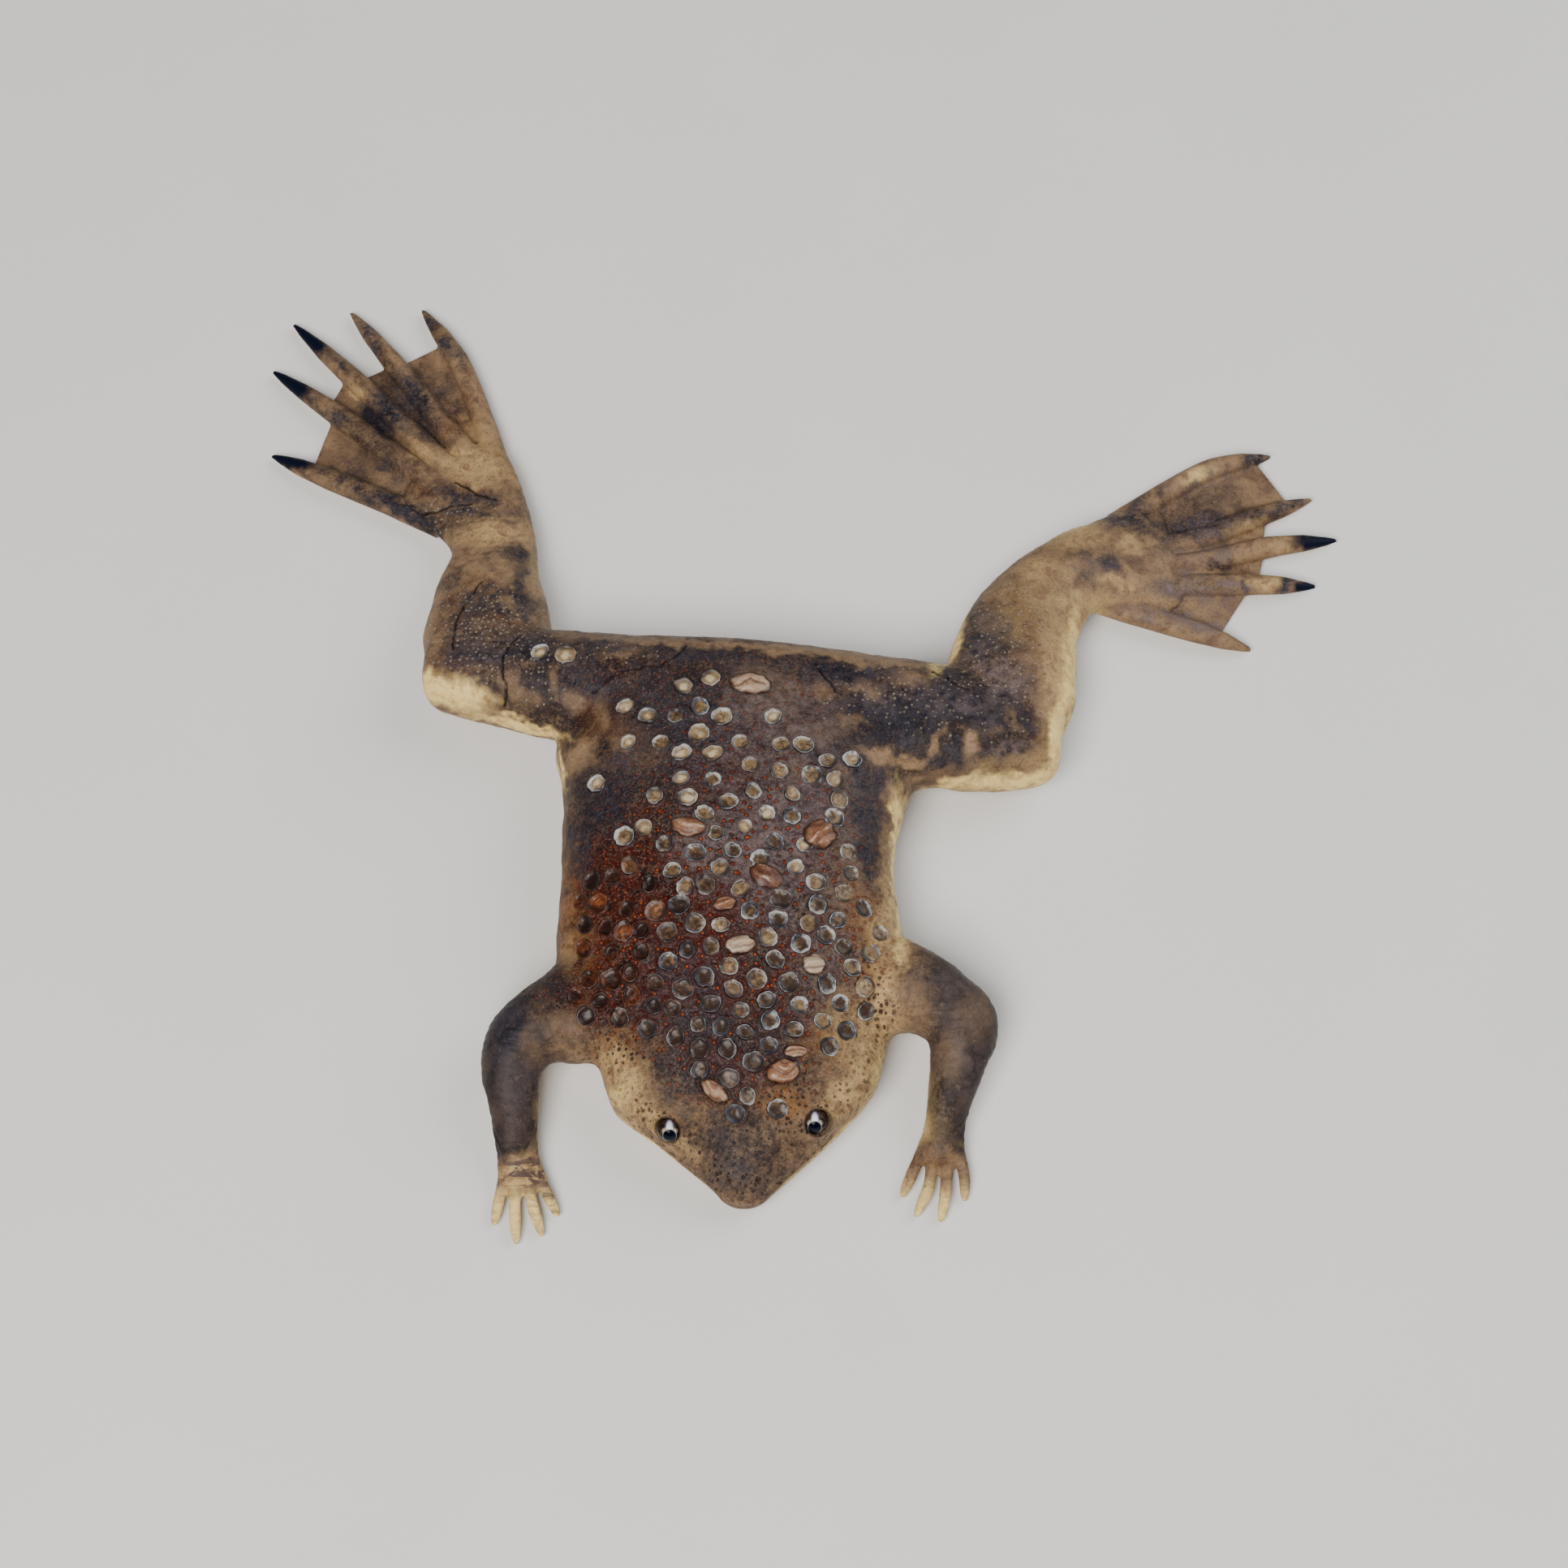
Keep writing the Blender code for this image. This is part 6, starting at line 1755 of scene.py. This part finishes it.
def eye_paint():
    paint = Paint("toad_eye")
    side, up, front = [paint.mask(name) for name in ("side", "up", "front")]
    rays = paint.grain(0.9, 4.0, 0.6, 0.5)

    def oval(middle, wide, high):
        """0 in the middle of an oval, 1 at its edge."""
        across = side * (1 / wide)
        along = (up - middle) * (1 / high)
        return across * across + along * along

    colour = paint.mix(rays.between(0.45, 0.70), *AMBER)
    flank = (oval(*FLANK_OVAL) + rays * 0.8).between(1.40, 0.70)
    colour = paint.mix(flank * front * 0.85, colour, EYE_FLANK)
    gap = (oval(*GAP_OVAL) + rays * 0.5).between(1.35, 0.95)
    colour = paint.mix(gap * front * 0.4, colour, EYE_SHADE)
    # Painted highlight: a silver streak above the pupil, where a lamp's glare would lie
    highlight = (oval(*HIGHLIGHT_OVAL) + up * 0.45 + rays * 0.5).between(1.45, 0.15)
    colour = paint.mix(highlight * front * 0.95, colour, PAINTED_HIGHLIGHT)
    pupil = oval(*PUPIL_OVAL)
    colour = paint.mix(pupil.between(1.30, 1.18) * front * 0.6, colour, PUPIL_RING)
    colour = paint.mix(pupil.between(1.16, 0.98) * front, colour, PUPIL)
    return paint.finish(Base_Color=colour, Roughness=rays * 0.10 + 0.12,
                        Normal=paint.bump(rays, 0.01), Specular_IOR_Level=0.10,
                        Coat_Weight=0.03, Coat_Roughness=0.05)


eye_finish = eye_paint()
for name in EYES:
    ball = eyeball(name)
    ball.data.materials.append(eye_finish)
    ball.data.shade_smooth()
    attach(ball, "root")
    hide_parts(name)
print(len(EYES), "eyes with", node_count(ball), "nodes of paint")

# %% [markdown]
# ## Table and light
#
# The model lies on a plain pale table under soft studio light: one large lamp over
# the head end, a weaker one from the far side, and a pale room all round.

# %% Table
TABLE_HALF = 2.5          # metres
TABLE_DROP = -0.0004
TABLE_TINTS = (0.70, 0.69, 0.67), (0.74, 0.73, 0.71)


def table_paint():
    paint = Paint("pale_table")
    tint = paint.grain(60.0, 3.0, 0.5)
    return paint.finish(Base_Color=paint.mix(tint, *TABLE_TINTS), Roughness=tint * 0.1 + 0.55)


table_corners = [(x * TABLE_HALF, y * TABLE_HALF, TABLE_DROP)
                 for x, y in ((-1, -1), (1, -1), (1, 1), (-1, 1))]
floor = mesh_object("table", table_corners, [(0, 1, 2, 3)])
floor.data.materials.append(table_paint())
print("table", 2 * TABLE_HALF, "m wide")

# %% Lamps and room
# Lamps: place in metres, size in metres, watts, colour
LAMPS = {
    "key": ((-0.45, -0.99, 1.53), 1.1, 49.0, (1.0, 0.97, 0.93)),
    "fill": ((1.26, 0.63, 1.08), 1.4, 21.0, (0.93, 0.96, 1.0)),
}
ROOM_COLOUR = (0.90, 0.92, 0.95, 1.0)
ROOM_LIGHT = 0.20
for name, (place, size, watts, colour) in LAMPS.items():
    light = bpy.data.lights.new(name, "AREA")
    light.size = size
    light.energy = watts
    light.color = colour
    lamp = add_object(name, light)
    lamp.location = place
    lamp.rotation_euler = (-Vector(place)).to_track_quat("-Z", "Y").to_euler()
world = bpy.data.worlds.new("room")
bpy.context.scene.world = world
world.use_nodes = True
room = world.node_tree.nodes["Background"].inputs
room["Color"].default_value = ROOM_COLOUR
room["Strength"].default_value = ROOM_LIGHT
print(len(LAMPS), "lamps and a pale room")
